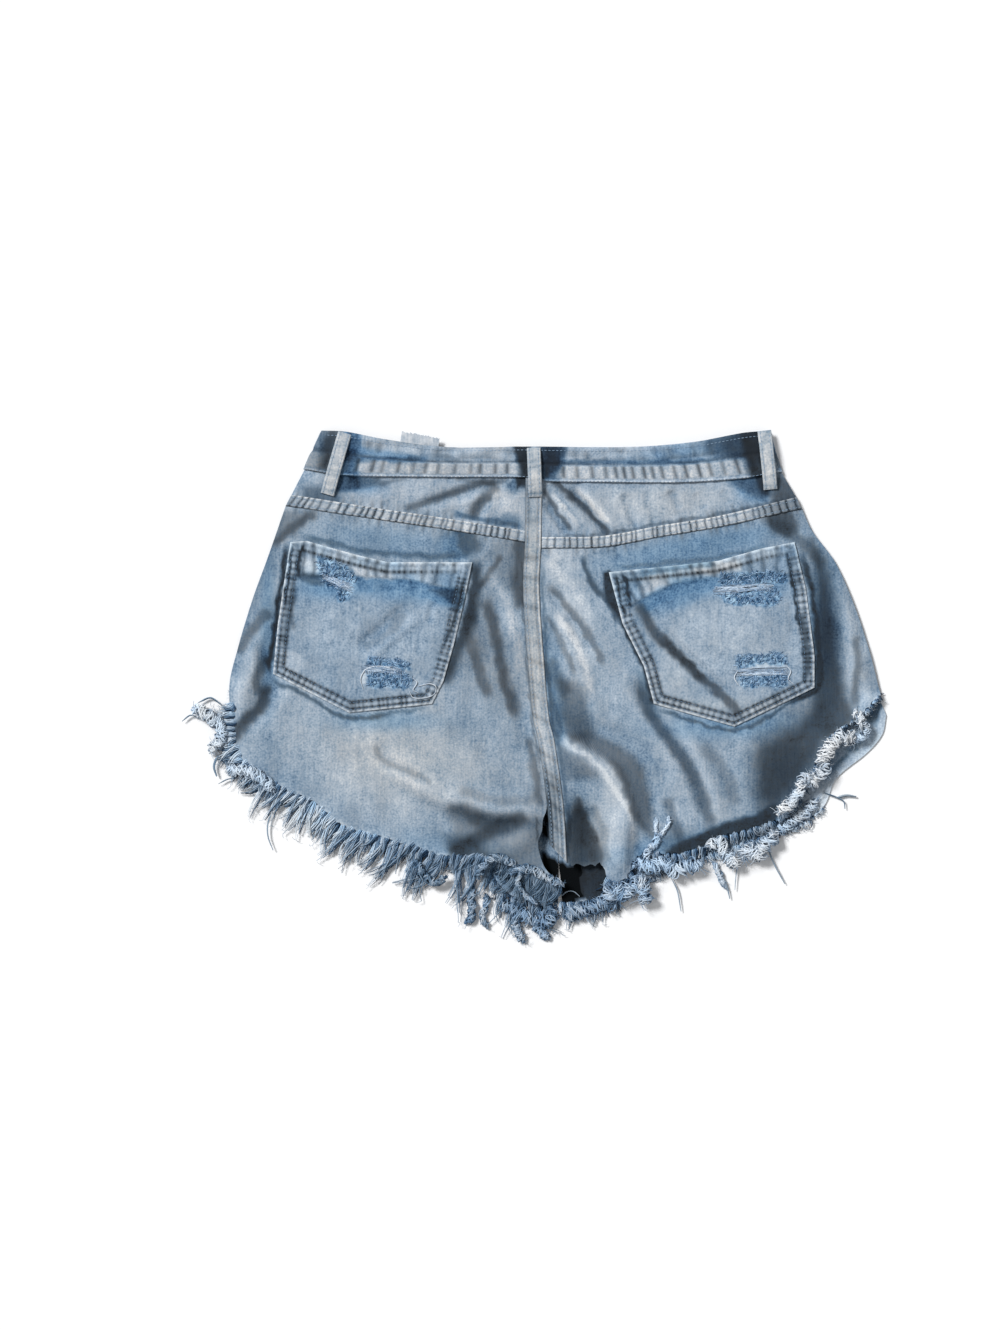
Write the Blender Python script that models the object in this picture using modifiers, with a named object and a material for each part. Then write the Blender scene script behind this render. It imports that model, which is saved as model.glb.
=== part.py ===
"""Cut-off denim shorts with frayed hems, lying back up on a flat surface.

Lengths are in millimetres until a piece becomes an object, which is in metres.
+X is the wearer's right, +Y runs from the hems to the waist and +Z is up, off the surface.
The back layer is one height over the plan, so each panel, pocket and loop is cut from the same cloth form.
"""

import math
import random

import bmesh
import bpy
from mathutils import Vector

MILLIMETRE = 0.001
SHARP_ANGLE = math.radians(40)
OUTLINE_STEPS = 40

# Cloth
WALL = 1.4
SEAM_GAP = 0.3
SEAM_WALL = 2.6
SEAM_STEP = 0.4
POCKET_WALL = 1.3
LABEL_WALL = 1.0
FLY_WALL = 1.0

# Heights of the back layer's underside
SIDE_HEIGHT = WALL + SEAM_GAP
BACK_HEIGHT = 4.8
LOWEST_HEIGHT = 1.9
FLY_CLEARANCE = 3.2
FLY_REACH = 34.0
FLY_LOW_END = 40.0
FLY_FADE = 14.0
SIDE_ROUNDING = 18.0
SIDE_FOLD_END = -5.0
FOLD_FADE_SHARE = 0.22

# Seams, loops and fringe
CENTRE_SEAM_WIDTH = 13.0
YOKE_SEAM_WIDTH = 9.0
LOOP_WIDTH = 11.0
LOOP_WALL = 1.2
LOOP_ARCH = 3.2
LOOP_ARCH_POWER = 0.7
FRINGE_GAP = 0.4
FRINGE_STRIP = 2.6
FRINGE_WALL = 1.2
STRAND_SPACING = 5.6
STRAND_TIP = 0.35
STRAND_BEND = 9.0
STRAND_LEAST_OUTWARD = 0.55
STRAND_LEAST_APART = 0.72
STRAND_LENGTHS = (0.72, 1.04)
LONG_STRAND = 10.0
FRONT_FRINGE_FLOOR = 0.3
BACK_FRINGE_FLOOR = 1.9

BUTTON_PLACE = (4.0, 180.0)
BUTTON_RADIUS = 8.5
BUTTON_HEIGHT = 2.0
BUTTON_BEVEL = 1.5
WAIST_OVERLAP = (-14.0, 20.0)
WAIST_INSET = WALL / 2 + 1.0
LAP_START = 24.0
LAP_LENGTH = 20.0

# The outline, each row (x, y), from the waist down or from the wearer's left to right
LEFT_SIDE = ((-169, 205), (-183, 174), (-198, 145), (-213, 102), (-224, 72), (-236, 32), (-243, 1), (-240, -47))
RIGHT_SIDE = ((188, 205), (202, 172), (219, 143), (243, 102), (256, 66), (268, 30), (277, -5))
WAIST_TOP = ((-169, 205), (-151, 204), (-120, 198), (-75, 192), (-5, 192), (85, 192), (130, 196), (168, 203),
             (188, 205))
WAIST_SEAM = ((-183, 174), (-155, 169.5), (-90, 168), (-6, 167.5), (12, 164.5), (53, 164), (116, 163.5),
              (170, 167), (202, 172))
YOKE_SEAM_LEFT = ((-198, 145), (-124, 134), (-76, 127), (-6.8, 116))
YOKE_SEAM_RIGHT = ((6.5, 111), (55, 112), (100, 120), (148, 128), (219, 143))
CENTRE_LINE = ((0, 192), (0, 152), (-0.5, 114), (-2, 79), (2, 18), (6, -25), (10, -42), (17, -92), (20, -139))
INNER_EDGE_LEFT = ((10, -98), (2, -118), (8, -143), (23, -158))
BACK_HEM_LEFT = ((-240, -47), (-227, -64), (-210, -75), (-178, -90), (-150, -111), (-103, -124), (-75, -133),
                 (-28, -136), (-9, -143), (23, -158))
BACK_HEM_RIGHT = ((26.5, -140), (42, -143), (54, -141), (60, -153), (73, -153), (80, -138), (91, -131),
                  (117, -132), (158, -116), (192, -106), (208, -88), (219, -70), (228, -51), (240, -35),
                  (258, -24), (277, -5))
FRONT_HEM_LEFT = ((-240, -2), (-230, -48), (-178, -80), (-103, -113), (-50, -130), (-18, -166), (19, -173))
FRONT_HEM_RIGHT = ((23, -172), (60, -168), (85, -156), (117, -140), (150, -130), (180, -120), (213, -108),
                   (232, -95), (242, -73), (268, -51), (279, -37), (282, -22))

# Folds of the back layer: name, height (troughs are negative), reach on the fold's left and right, then its line
FOLDS = (
    ("left_hip_ridge", 5.0, 13, 15, ((-200, 100), (-216, 50), (-228, 14), (-242, -22))),
    ("left_hip_trough", -2.6, 12, 9, ((-222, 44), (-213, 22), (-206, 2), (-214, -14), (-236, -34))),
    ("left_seat_trough", -2.2, 14, 11, ((-70, 82), (-47, 48), (-24, 16))),
    ("left_centre_trough", -2.2, 10, 10, ((-38, 42), (-14, -8), (-2, -66))),
    ("left_leg_crease", -1.6, 9, 9, ((-124, -40), (-118, -60), (-98, -67), (-80, -78))),
    ("left_leg_ridge", 7.5, 20, 9, ((-122, -56), (-77, -86), (-40, -98), (8, -100), (24, -100))),
    ("left_leg_hollow", -4.0, 10, 13, ((-72, -95), (-42, -106), (-8, -112))),
    ("left_hem_swell", 4.0, 16, 16, ((14, -112), (-24, -127), (-60, -140))),
    ("left_pocket_trough", -1.6, 14, 14, ((-95, 68), (-122, 46), (-148, 26))),
    ("left_yoke_trough", -2.0, 9, 9, ((-34, 156), (-43, 144), (-52, 130))),
    ("left_yoke_valley", -2.0, 9, 9, ((-24, 163), (-46, 157), (-75, 149), (-98, 144))),
    ("left_yoke_corner", -2.0, 9, 9, ((-150, 166), (-132, 161), (-112, 158))),
    ("left_back_trough", -1.6, 10, 10, ((-66, 128), (-60, 112), (-58, 98))),
    ("right_yoke_fold_1", -2.6, 8, 8, ((28, 158), (45, 139), (62, 120))),
    ("right_yoke_fold_2", -2.0, 7, 7, ((9, 150), (18, 136), (30, 120))),
    ("right_yoke_fold_3", -1.4, 8, 8, ((70, 156), (78, 140), (82, 124))),
    ("right_yoke_fold_4", -1.4, 8, 8, ((106, 158), (113, 146), (118, 134))),
    ("right_seat_trough", -2.6, 15, 12, ((10, 84), (28, 57), (58, 24))),
    ("right_valley", -3.6, 15, 12, ((14, -26), (48, -36), (73, -44), (91, -60), (98, -80), (98, -98), (90, -122))),
    ("right_crotch_ridge", 9.0, 11, 17,
     ((10, -24), (40, -54), (58, -66), (70, -84), (74, -104), (70, -132), (66, -170))),
    ("right_crotch_hollow", -5.0, 16, 16, ((34, -92), (42, -116), (42, -150))),
    ("right_leg_crease", -3.4, 11, 9, ((78, 16), (91, -17), (109, -40), (123, -62), (132, -86), (140, -122))),
    ("right_leg_ridge", 2.6, 14, 12, ((112, -22), (138, -70), (152, -112))),
    ("right_leg_slope", -2.2, 26, 24, ((214, -6), (196, -44), (182, -96))),
    ("right_hem_roll", 5.0, 20, 12, ((186, -116), (206, -90), (226, -56), (240, -37), (258, -26), (288, 0))),
    ("right_hip_valley", -2.6, 16, 16, ((232, 118), (238, 60), (240, 6), (234, -40))),
    ("right_hip_ridge", 5.0, 12, 14, ((240, 104), (252, 58), (259, 22), (262, -8))),
    ("right_pocket_crease", -2.6, 10, 9, ((86, 70), (103, 41), (126, 18), (164, -18))),
)

# Broad swells of the back layer: name, height, centre x, centre y, reach in x, reach in y
SWELLS = (
    ("left_seat", 1.6, -125, 20, 95, 130),
    ("right_seat", 1.6, 140, 20, 95, 120),
    ("crotch", 6.5, 26, -130, 64, 64),
)

# What lies under the front at the waist and lifts it: name, centre x, centre y, half width, half length, height
UNDER_PIECES = (
    ("button", BUTTON_PLACE[0], BUTTON_PLACE[1], 9.0, 9.0, BUTTON_HEIGHT + SEAM_GAP),
    ("front_loop_left", -92.0, 176.0, 6.5, 22.0, LOOP_WALL + SEAM_GAP),
    ("front_loop_right", 98.0, 174.0, 6.5, 22.0, LOOP_WALL + SEAM_GAP),
)
UNDER_MARGIN = 2.0
UNDER_FADE = 24.0

# Patch pockets, each outline from its top corner at the wearer's left, clockwise
POCKET_LEFT = ((-194, 116), (-181, 117), (-160, 111), (-138, 105), (-116, 100), (-88, 100), (-49, 100),
               (-55, 71), (-64, 33), (-72, 5), (-81, -13), (-147, -20), (-208, 11), (-204, 50))
POCKET_RIGHT = ((60, 92), (100, 96), (147, 101), (182, 111), (208, 116), (213, 95), (217, 79), (224, 26),
                (224, 0), (206, -9), (160, -31), (96, -13), (88, 17), (71, 51))

# Worn-through gaps in the pockets: name, pocket, centre x, centre y, half length, half height, turn in degrees
RIPS = (
    ("rip_left_upper", "pocket_left", -156.0, 84.0, 9.0, 3.0, -24.0),
    ("rip_left_lower", "pocket_left", -120.0, 12.0, 13.0, 3.0, -3.0),
    ("rip_right_upper", "pocket_right", 167.0, 79.0, 20.0, 3.0, 3.0),
    ("rip_right_lower", "pocket_right", 181.0, 13.0, 17.0, 3.0, 2.0),
)

# Belt loops on the back: name, top x, top y, bottom x, bottom y, height of their ends over the cloth form
BACK_LOOPS = (
    ("loop_back_left", -150.5, 203, -164.5, 154, 2.1),
    ("loop_centre", 0.0, 191, 1.5, 152, 3.0),
    ("loop_back_right", 184.0, 205, 189.0, 158, 2.1),
)

# Strands of each frayed hem: share of the hem from its start, length, direction in degrees from +X
BACK_LEFT_STRANDS = ((0.0, 8, 190), (0.03, 26, 176), (0.08, 28, 194), (0.13, 21, 210), (0.2, 24, 226),
                     (0.3, 30, 231), (0.6, 34, 233), (0.7, 35, 238), (0.79, 50, 248), (0.85, 50, 255),
                     (0.9, 31, 258), (1.0, 24, 266))
BACK_RIGHT_STRANDS = ((0.0, 26, 262), (0.06, 24, 268), (0.2, 20, 275), (0.4, 12, 285), (0.55, 9, 300),
                      (0.65, 9, 318), (0.8, 9, 322), (1.0, 8, 318))
FRONT_LEFT_STRANDS = ((0.0, 6, 190), (0.15, 8, 215), (0.7, 8, 240), (0.86, 24, 258), (0.93, 32, 264),
                      (1.0, 28, 268))
FRONT_RIGHT_STRANDS = ((0.0, 18, 272), (0.2, 17, 276), (0.42, 21, 285), (0.6, 18, 295), (0.7, 14, 310),
                       (0.78, 3, 320), (1.0, 0, 340))
SHORTEST_STRAND = 3.5

# Single long strands: the hem, the share of it that they grow from, length
STRAYS = (
    ("fringe_back_left", 0.07, 38),
    ("fringe_back_left", 0.26, 52),
    ("fringe_front_right", 0.13, 34),
    ("fringe_front_right", 0.43, 42),
    ("fringe_front_right", 0.59, 40),
    ("fringe_front_right", 0.72, 26),
)

# Colours, roughness and metallic value of each kind of material
FINISHES = {
    "denim": ((0.36, 0.45, 0.56), 0.9, 0.0),
    "denim_worn": ((0.46, 0.53, 0.62), 0.92, 0.0),
    "denim_inside": ((0.22, 0.29, 0.38), 0.92, 0.0),
    "loop_cloth": ((0.56, 0.56, 0.56), 0.92, 0.0),
    "fringe_cotton": ((0.42, 0.5, 0.6), 0.95, 0.0),
    "label_cloth": ((0.62, 0.63, 0.66), 0.85, 0.0),
    "button_metal": ((0.45, 0.4, 0.34), 0.4, 1.0),
}


def smooth(value):
    """0 to 1 with level ends."""
    held = min(max(value, 0.0), 1.0)
    return held * held * (3 - 2 * held)


def chord_lengths(points):
    """The length along the points at each of them."""
    lengths = [0.0]
    for start, end in zip(points, points[1:]):
        lengths.append(lengths[-1] + math.dist(start, end))
    return lengths


def along(points, share):
    """The place on a smooth curve through the points, at a share of its length."""
    lengths = chord_lengths(points)
    target = min(max(share, 0.0), 1.0) * lengths[-1]
    index = 0
    while index < len(points) - 2 and lengths[index + 1] < target:
        index += 1
    span = lengths[index + 1] - lengths[index]
    t = (target - lengths[index]) / span
    tangents = []
    for here in (index, index + 1):
        before = max(here - 1, 0)
        after = min(here + 1, len(points) - 1)
        run = lengths[after] - lengths[before]
        tangents.append([(b - a) / run * span for a, b in zip(points[before], points[after])])
    weights = (2 * t**3 - 3 * t**2 + 1, t**3 - 2 * t**2 + t, 3 * t**2 - 2 * t**3, t**3 - t**2)
    terms = (points[index], tangents[0], points[index + 1], tangents[1])
    return tuple(sum(w * term[axis] for w, term in zip(weights, terms)) for axis in (0, 1))


def row_between(rows, position):
    """The values of a table at a position between its rows, whose first column is the position."""
    for low, high in zip(rows, rows[1:]):
        if position <= high[0]:
            t = (position - low[0]) / (high[0] - low[0])
            return [a + (b - a) * t for a, b in zip(low[1:], high[1:])]
    return list(rows[-1][1:])


def x_at(line, y):
    """The x of a line that runs down the garment, at a height y."""
    for (x0, y0), (x1, y1) in zip(line, line[1:]):
        if y >= y1:
            return x0 + (x1 - x0) * (y0 - y) / (y0 - y1)
    return line[-1][0]


def part_of(line, top, bottom):
    """The stretch of a line that runs down the garment between two heights."""
    inside = [point for point in line if bottom < point[1] < top]
    return ((x_at(line, top), top), *inside, (x_at(line, bottom), bottom))


def fold_height(x, y, height, left_reach, right_reach, line):
    """What one fold adds to the cloth's height: full on its line, nothing at its reach or past its ends."""
    best = None
    lengths = chord_lengths(line)
    for index, ((x0, y0), (x1, y1)) in enumerate(zip(line, line[1:])):
        span = lengths[index + 1] - lengths[index]
        t = ((x - x0) * (x1 - x0) + (y - y0) * (y1 - y0)) / span**2
        t = min(max(t, 0.0), 1.0)
        away = math.hypot(x - x0 - t * (x1 - x0), y - y0 - t * (y1 - y0))
        if best is None or away < best[0]:
            side = (x1 - x0) * (y - y0) - (y1 - y0) * (x - x0)
            best = (away, side, (lengths[index] + t * span) / lengths[-1])
    away, side, share = best
    reach = left_reach if side > 0 else right_reach
    if away >= reach:
        return 0.0
    ends = smooth(share / FOLD_FADE_SHARE) * smooth((1 - share) / FOLD_FADE_SHARE)
    return height * ends * (1 - (away / reach) ** 2) ** 2


def front_height(x, y):
    """The underside of the front: flat on the surface but for what lies under it at the waist."""
    lift = 0.0
    for _, centre_x, centre_y, half_width, half_length, height in UNDER_PIECES:
        away = math.hypot(max(abs(x - centre_x) - half_width, 0), max(abs(y - centre_y) - half_length, 0))
        lift = max(lift, height * (1 - smooth((away - UNDER_MARGIN) / UNDER_FADE)))
    return lift


def back_height(x, y):
    """The underside of the back layer."""
    height = BACK_HEIGHT
    for _, rise, centre_x, centre_y, reach_x, reach_y in SWELLS:
        away = math.hypot((x - centre_x) / reach_x, (y - centre_y) / reach_y)
        height += rise * (1 - smooth(away))
    for _, *fold in FOLDS:
        height += fold_height(x, y, *fold)
    over_fly = smooth((FLY_REACH - abs(x)) / FLY_FADE) * smooth((y - FLY_LOW_END) / FLY_FADE)
    lowest = LOWEST_HEIGHT + (FLY_CLEARANCE - LOWEST_HEIGHT) * over_fly
    height = max(height, lowest)
    from_side = min(x - x_at(LEFT_SIDE, y), x_at(RIGHT_SIDE, y) - x if y > SIDE_FOLD_END else SIDE_ROUNDING)
    rounding = math.sqrt(smooth(from_side / SIDE_ROUNDING))
    return SIDE_HEIGHT + (height - SIDE_HEIGHT) * rounding + front_height(x, y)


def coons(top, bottom, left, right, u, v):
    """The place at (u, v) in a patch with four edge curves: u runs from left to right and v from top to bottom."""
    upper = along(top, u)
    lower = along(bottom, u)
    start = along(left, v)
    end = along(right, v)
    place = []
    for axis in (0, 1):
        across = (1 - v) * upper[axis] + v * lower[axis]
        down = (1 - u) * start[axis] + u * end[axis]
        corners = (1 - u) * ((1 - v) * top[0][axis] + v * bottom[0][axis])
        corners += u * ((1 - v) * top[-1][axis] + v * bottom[-1][axis])
        place.append(across + down - corners)
    return place


def shares_of(points, spacing):
    """Shares along a curve: at each of its points, and between them where they are further apart than the spacing."""
    lengths = chord_lengths(points)
    shares = [0.0]
    for low, high in zip(lengths, lengths[1:]):
        steps = max(round((high - low) / spacing), 1)
        shares += [(low + (high - low) * (step + 1) / steps) / lengths[-1] for step in range(steps)]
    return shares


def patch_places(edges, columns, rows, left_band=0.0, lower_edge=None):
    """Rows of places over a patch at the columns' and rows' shares.

    A seam band at the left, of a width, or down to a lower edge is two more columns or rows.
    """
    places = []
    for row in rows:
        line = [coons(*edges, column, row) for column in columns]
        if left_band:
            x, y = line[0]
            line = [(x - left_band, y), (x - SEAM_STEP, y)] + line
        places.append(line)
    if lower_edge:
        last = places[-1]
        places.append([(x, y - SEAM_STEP) for x, y in last])
        lower = [along(lower_edge, column) for column in columns]
        if left_band:
            x, y = lower[0]
            lower = [(x - left_band, y), (x - SEAM_STEP, y)] + lower
        places.append(lower)
    return places


def material(name, finish):
    """A Principled material of one of the FINISHES."""
    colour, roughness, metallic = FINISHES[finish]
    made = bpy.data.materials.new(name)
    made.use_nodes = True
    shader = made.node_tree.nodes["Principled BSDF"]
    shader.inputs["Base Color"].default_value = (*colour, 1)
    shader.inputs["Roughness"].default_value = roughness
    shader.inputs["Metallic"].default_value = metallic
    return made


def finish_piece(name, mesh_data, finish, collection):
    """Scales the mesh to metres and puts it in the scene as a named object with its own material."""
    bmesh.ops.scale(mesh_data, vec=(MILLIMETRE, MILLIMETRE, MILLIMETRE), verts=mesh_data.verts)
    bmesh.ops.recalc_face_normals(mesh_data, faces=mesh_data.faces)
    mesh = bpy.data.meshes.new(name)
    mesh_data.to_mesh(mesh)
    mesh_data.free()
    mesh.shade_smooth()
    mesh.set_sharp_from_angle(angle=SHARP_ANGLE)
    piece = bpy.data.objects.new(name, mesh)
    mesh.materials.append(material(name, finish))
    collection.objects.link(piece)
    return piece


def thicken(mesh_data, walls):
    """Gives an open surface its wall: a copy of each face moved up, joined round the rim."""
    bmesh.ops.triangulate(mesh_data, faces=mesh_data.faces, quad_method="FIXED")
    raised = bmesh.ops.extrude_face_region(mesh_data, geom=mesh_data.faces, use_keep_orig=True)
    for vertex in raised["geom"]:
        if isinstance(vertex, bmesh.types.BMVert):
            vertex.co.z += vertex[walls]


def cloth_grid(places, height, wall):
    """A sheet with its points at the places, its underside at height(x, y) and its wall from wall(column, row)."""
    rows = len(places) - 1
    columns = len(places[0]) - 1
    mesh_data = bmesh.new()
    walls = mesh_data.verts.layers.float.new("wall")
    bmesh.ops.create_grid(mesh_data, x_segments=columns, y_segments=rows, size=0.5)
    for vertex in mesh_data.verts:
        column = round((vertex.co.x + 0.5) * columns)
        row = round((0.5 - vertex.co.y) * rows)
        x, y = places[row][column]
        vertex.co = (x, y, height(x, y))
        vertex[walls] = wall(column, row)
    thicken(mesh_data, walls)
    return mesh_data


def moved(line, dx, dy):
    return tuple((x + dx, y + dy) for x, y in line)


def even(steps):
    """Even shares from 0 to 1."""
    return [step / steps for step in range(steps + 1)]


def yoke_left(collection):
    """The left yoke, its lower edge felled over the back leg."""
    band = moved(YOKE_SEAM_LEFT, 0, YOKE_SEAM_WIDTH + SEAM_GAP / 2)
    centre_x = band[-1][0]
    top = [along(WAIST_SEAM, share / OUTLINE_STEPS) for share in range(0, 19)]
    top = moved([point for point in top if point[0] < centre_x - 3] + [(centre_x, 167.6)], 0, -SEAM_GAP)
    left = part_of(LEFT_SIDE, top[0][1], band[0][1])
    band = (left[-1], *band[1:])
    edges = (top, band, left, (top[-1], band[-1]))
    places = patch_places(edges, even(15), even(3), lower_edge=moved(YOKE_SEAM_LEFT, 0, SEAM_GAP / 2))
    grid = cloth_grid(places, back_height, lambda column, row: SEAM_WALL if row > 3 else WALL)
    return finish_piece("yoke_left", grid, "denim_worn", collection)


def yoke_right(collection):
    """The right yoke, felled over the back leg below it and over the left yoke at the centre back."""
    half = CENTRE_SEAM_WIDTH / 2
    band = moved(YOKE_SEAM_RIGHT, 0, YOKE_SEAM_WIDTH + SEAM_GAP / 2)
    top = [along(WAIST_SEAM, share / OUTLINE_STEPS) for share in range(OUTLINE_STEPS // 2, OUTLINE_STEPS + 1)]
    top = moved([(half, 165.0)] + [point for point in top if point[0] > half + 4], 0, -SEAM_GAP)
    right = part_of(RIGHT_SIDE, top[-1][1], band[-1][1])
    band = (*band[:-1], right[-1])
    edges = (top, band, (top[0], band[0]), right)
    lower_edge = moved(YOKE_SEAM_RIGHT, 0, SEAM_GAP / 2)
    places = patch_places(edges, even(15), even(3), CENTRE_SEAM_WIDTH, lower_edge)
    grid = cloth_grid(places, back_height, lambda column, row: SEAM_WALL if row > 3 or column < 2 else WALL)
    return finish_piece("yoke_right", grid, "denim_worn", collection)


def back_left_places():
    """The left back leg's points: the side fold, the hem and the inner edge that curls at the crotch."""
    top = moved(YOKE_SEAM_LEFT, 0, -SEAM_GAP / 2)
    left = part_of(LEFT_SIDE, top[0][1], BACK_HEM_LEFT[0][1])
    inset = CENTRE_SEAM_WIDTH / 2 + SEAM_GAP
    seam = part_of(CENTRE_LINE, top[-1][1], INNER_EDGE_LEFT[0][1] + 12)
    right = (top[-1], *moved(seam, -inset, 0)[1:], *INNER_EDGE_LEFT)
    return patch_places((top, BACK_HEM_LEFT, left, right), shares_of(BACK_HEM_LEFT, 15), shares_of(right, 14))


def back_right_places():
    """The right back leg's points, with the felled centre-back seam as a band at its left."""
    top = moved(YOKE_SEAM_RIGHT, 0, -SEAM_GAP / 2)
    right = part_of(RIGHT_SIDE, top[-1][1], RIGHT_SIDE[-1][1])
    seam = part_of(CENTRE_LINE, top[0][1], BACK_HEM_RIGHT[0][1])
    left = (top[0], *moved(seam, CENTRE_SEAM_WIDTH / 2, 0)[1:-1], BACK_HEM_RIGHT[0])
    right = (top[-1], *right[1:-1], BACK_HEM_RIGHT[-1])
    edges = (top, BACK_HEM_RIGHT, left, right)
    return patch_places(edges, shares_of(BACK_HEM_RIGHT, 15), shares_of(left, 14), left_band=CENTRE_SEAM_WIDTH)


def back_legs(collection):
    """The two back legs."""
    left = cloth_grid(back_left_places(), back_height, lambda column, row: WALL)
    right = cloth_grid(back_right_places(), back_height, lambda column, row: SEAM_WALL if column < 2 else WALL)
    finish_piece("back_left", left, "denim", collection)
    finish_piece("back_right", right, "denim", collection)


def outline_prism(name, outline, cutters):
    """A cutter that stands through the whole garment, with the outline as its plan."""
    curve = bpy.data.curves.new(name, "CURVE")
    curve.dimensions = "2D"
    curve.fill_mode = "BOTH"
    curve.extrude = 40 * MILLIMETRE
    spline = curve.splines.new("POLY")
    spline.points.add(len(outline) - 1)
    spline.use_cyclic_u = True
    for point, (x, y) in zip(spline.points, outline):
        point.co = (x * MILLIMETRE, y * MILLIMETRE, 0, 1)
    guide = bpy.data.objects.new(name + "_guide", curve)
    cutters.objects.link(guide)
    depsgraph = bpy.context.evaluated_depsgraph_get()
    mesh = bpy.data.meshes.new_from_object(guide.evaluated_get(depsgraph))
    bpy.data.objects.remove(guide)
    welded = bmesh.new()
    welded.from_mesh(mesh)
    bmesh.ops.remove_doubles(welded, verts=welded.verts, dist=0.01 * MILLIMETRE)
    bmesh.ops.recalc_face_normals(welded, faces=welded.faces)
    welded.to_mesh(mesh)
    welded.free()
    cutter = bpy.data.objects.new(name, mesh)
    cutter.hide_render = True
    cutter.display_type = "WIRE"
    cutters.objects.link(cutter)
    return cutter


def cut(piece, cutter, operation):
    boolean = piece.modifiers.new(cutter.name, "BOOLEAN")
    boolean.operation = operation
    boolean.solver = "EXACT"
    boolean.object = cutter


def oval(centre_x, centre_y, half_length, half_height, turn):
    """The outline of a worn gap: a flat oval of ten points."""
    points = []
    for step in range(10):
        angle = math.tau * step / 10
        x = half_length * math.cos(angle)
        y = half_height * math.sin(angle)
        cosine = math.cos(math.radians(turn))
        sine = math.sin(math.radians(turn))
        points.append((centre_x + x * cosine - y * sine, centre_y + x * sine + y * cosine))
    return points


def pockets(collection, cutters):
    """The patch pockets: each is its back leg's surface moved out, cut to the pocket's outline and worn through."""
    made = (
        ("pocket_left", back_left_places(), POCKET_LEFT),
        ("pocket_right", back_right_places(), POCKET_RIGHT),
    )
    for name, places, outline in made:
        grid = cloth_grid(places, lambda x, y: back_height(x, y) + WALL + SEAM_GAP, lambda column, row: POCKET_WALL)
        pocket = finish_piece(name, grid, "denim", collection)
        cut(pocket, outline_prism(name + "_outline", outline, cutters), "INTERSECT")
        for rip, of_pocket, *oval_sizes in RIPS:
            if of_pocket == name:
                cut(pocket, outline_prism(rip, oval(*oval_sizes), cutters), "DIFFERENCE")


def front_places():
    """The points of the two front legs, whose edges meet at the fly and down to the crotch."""
    gap = SEAM_GAP
    top = [along(WAIST_SEAM, share / OUTLINE_STEPS) for share in range(OUTLINE_STEPS + 1)]
    left_top = moved([point for point in top if point[0] < -4] + [(-gap, 166.5)], 0, -SEAM_GAP)
    right_top = moved([(gap, 166.5)] + [point for point in top if point[0] > 4], 0, -SEAM_GAP)
    centre = part_of(CENTRE_LINE, left_top[-1][1], -139)
    left = part_of(LEFT_SIDE, left_top[0][1], -2)
    left = (*left[:-1], FRONT_HEM_LEFT[0])
    right = part_of(RIGHT_SIDE, right_top[-1][1], RIGHT_SIDE[-1][1])
    right = (*right, FRONT_HEM_RIGHT[-1])
    left_edges = (left_top, FRONT_HEM_LEFT, left, (*moved(centre, -gap, 0), FRONT_HEM_LEFT[-1]))
    right_edges = (right_top, FRONT_HEM_RIGHT, (*moved(centre, gap, 0), FRONT_HEM_RIGHT[0]), right)
    return (
        patch_places(left_edges, shares_of(FRONT_HEM_LEFT, 24), shares_of(left_edges[3], 26)),
        patch_places(right_edges, shares_of(FRONT_HEM_RIGHT, 24), shares_of(right_edges[2], 26)),
    )


def front_legs(collection):
    """The two front legs, flat on the surface."""
    for name, places in zip(("front_left", "front_right"), front_places()):
        grid = cloth_grid(places, front_height, lambda column, row: WALL)
        finish_piece(name, grid, "denim_inside", collection)


def waist_place(share, up):
    """A place on the flattened waistband: share runs from the left fold to the right one, and up from seam to top."""
    low_x, low_y = along(WAIST_SEAM, share)
    high_x, high_y = along(WAIST_TOP, share)
    x = low_x + (high_x - low_x) * up
    return x + WAIST_INSET * (1 - 2 * share), low_y + (high_y - low_y) * up


def waistband_section(up):
    """The middle of the waistband's wall at one height, from its under end at the fly round the back to its upper."""
    half_wall = WALL / 2
    first_end, last_end = WAIST_OVERLAP[1], WAIST_OVERLAP[0]
    section = []

    def front(x, share, lift):
        _, y = waist_place(share, up)
        section.append((x, y, front_height(x, y) + half_wall + lift))

    def back(share):
        x, y = waist_place(share, up)
        section.append((x, y, back_height(x, y) + SEAM_GAP + half_wall))

    def turn(share, outward, rising):
        x, y = waist_place(share, up)
        low = front_height(x, y) + half_wall
        high = back_height(x, y) + SEAM_GAP + half_wall
        radius = (high - low) / 2
        steps = (1, 2, 3) if rising else (3, 2, 1)
        for step in steps:
            angle = math.pi * step / 4
            section.append((x + outward * radius * math.sin(angle), y, low + radius * (1 - math.cos(angle))))

    left_x = waist_place(0, up)[0]
    right_x = waist_place(1, up)[0]
    for step in range(13):
        x = first_end + (left_x - first_end) * step / 12
        front(x, (x - left_x) / (right_x - left_x), 0.0)
    turn(0, -1, True)
    for step in range(29):
        back(step / 28)
    turn(1, 1, False)
    for step in range(13):
        x = right_x + (last_end - right_x) * step / 12
        over = smooth((WAIST_OVERLAP[1] + LAP_START - x) / LAP_LENGTH) * (WALL + SEAM_GAP)
        front(x, (x - left_x) / (right_x - left_x), over)
    return section


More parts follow.
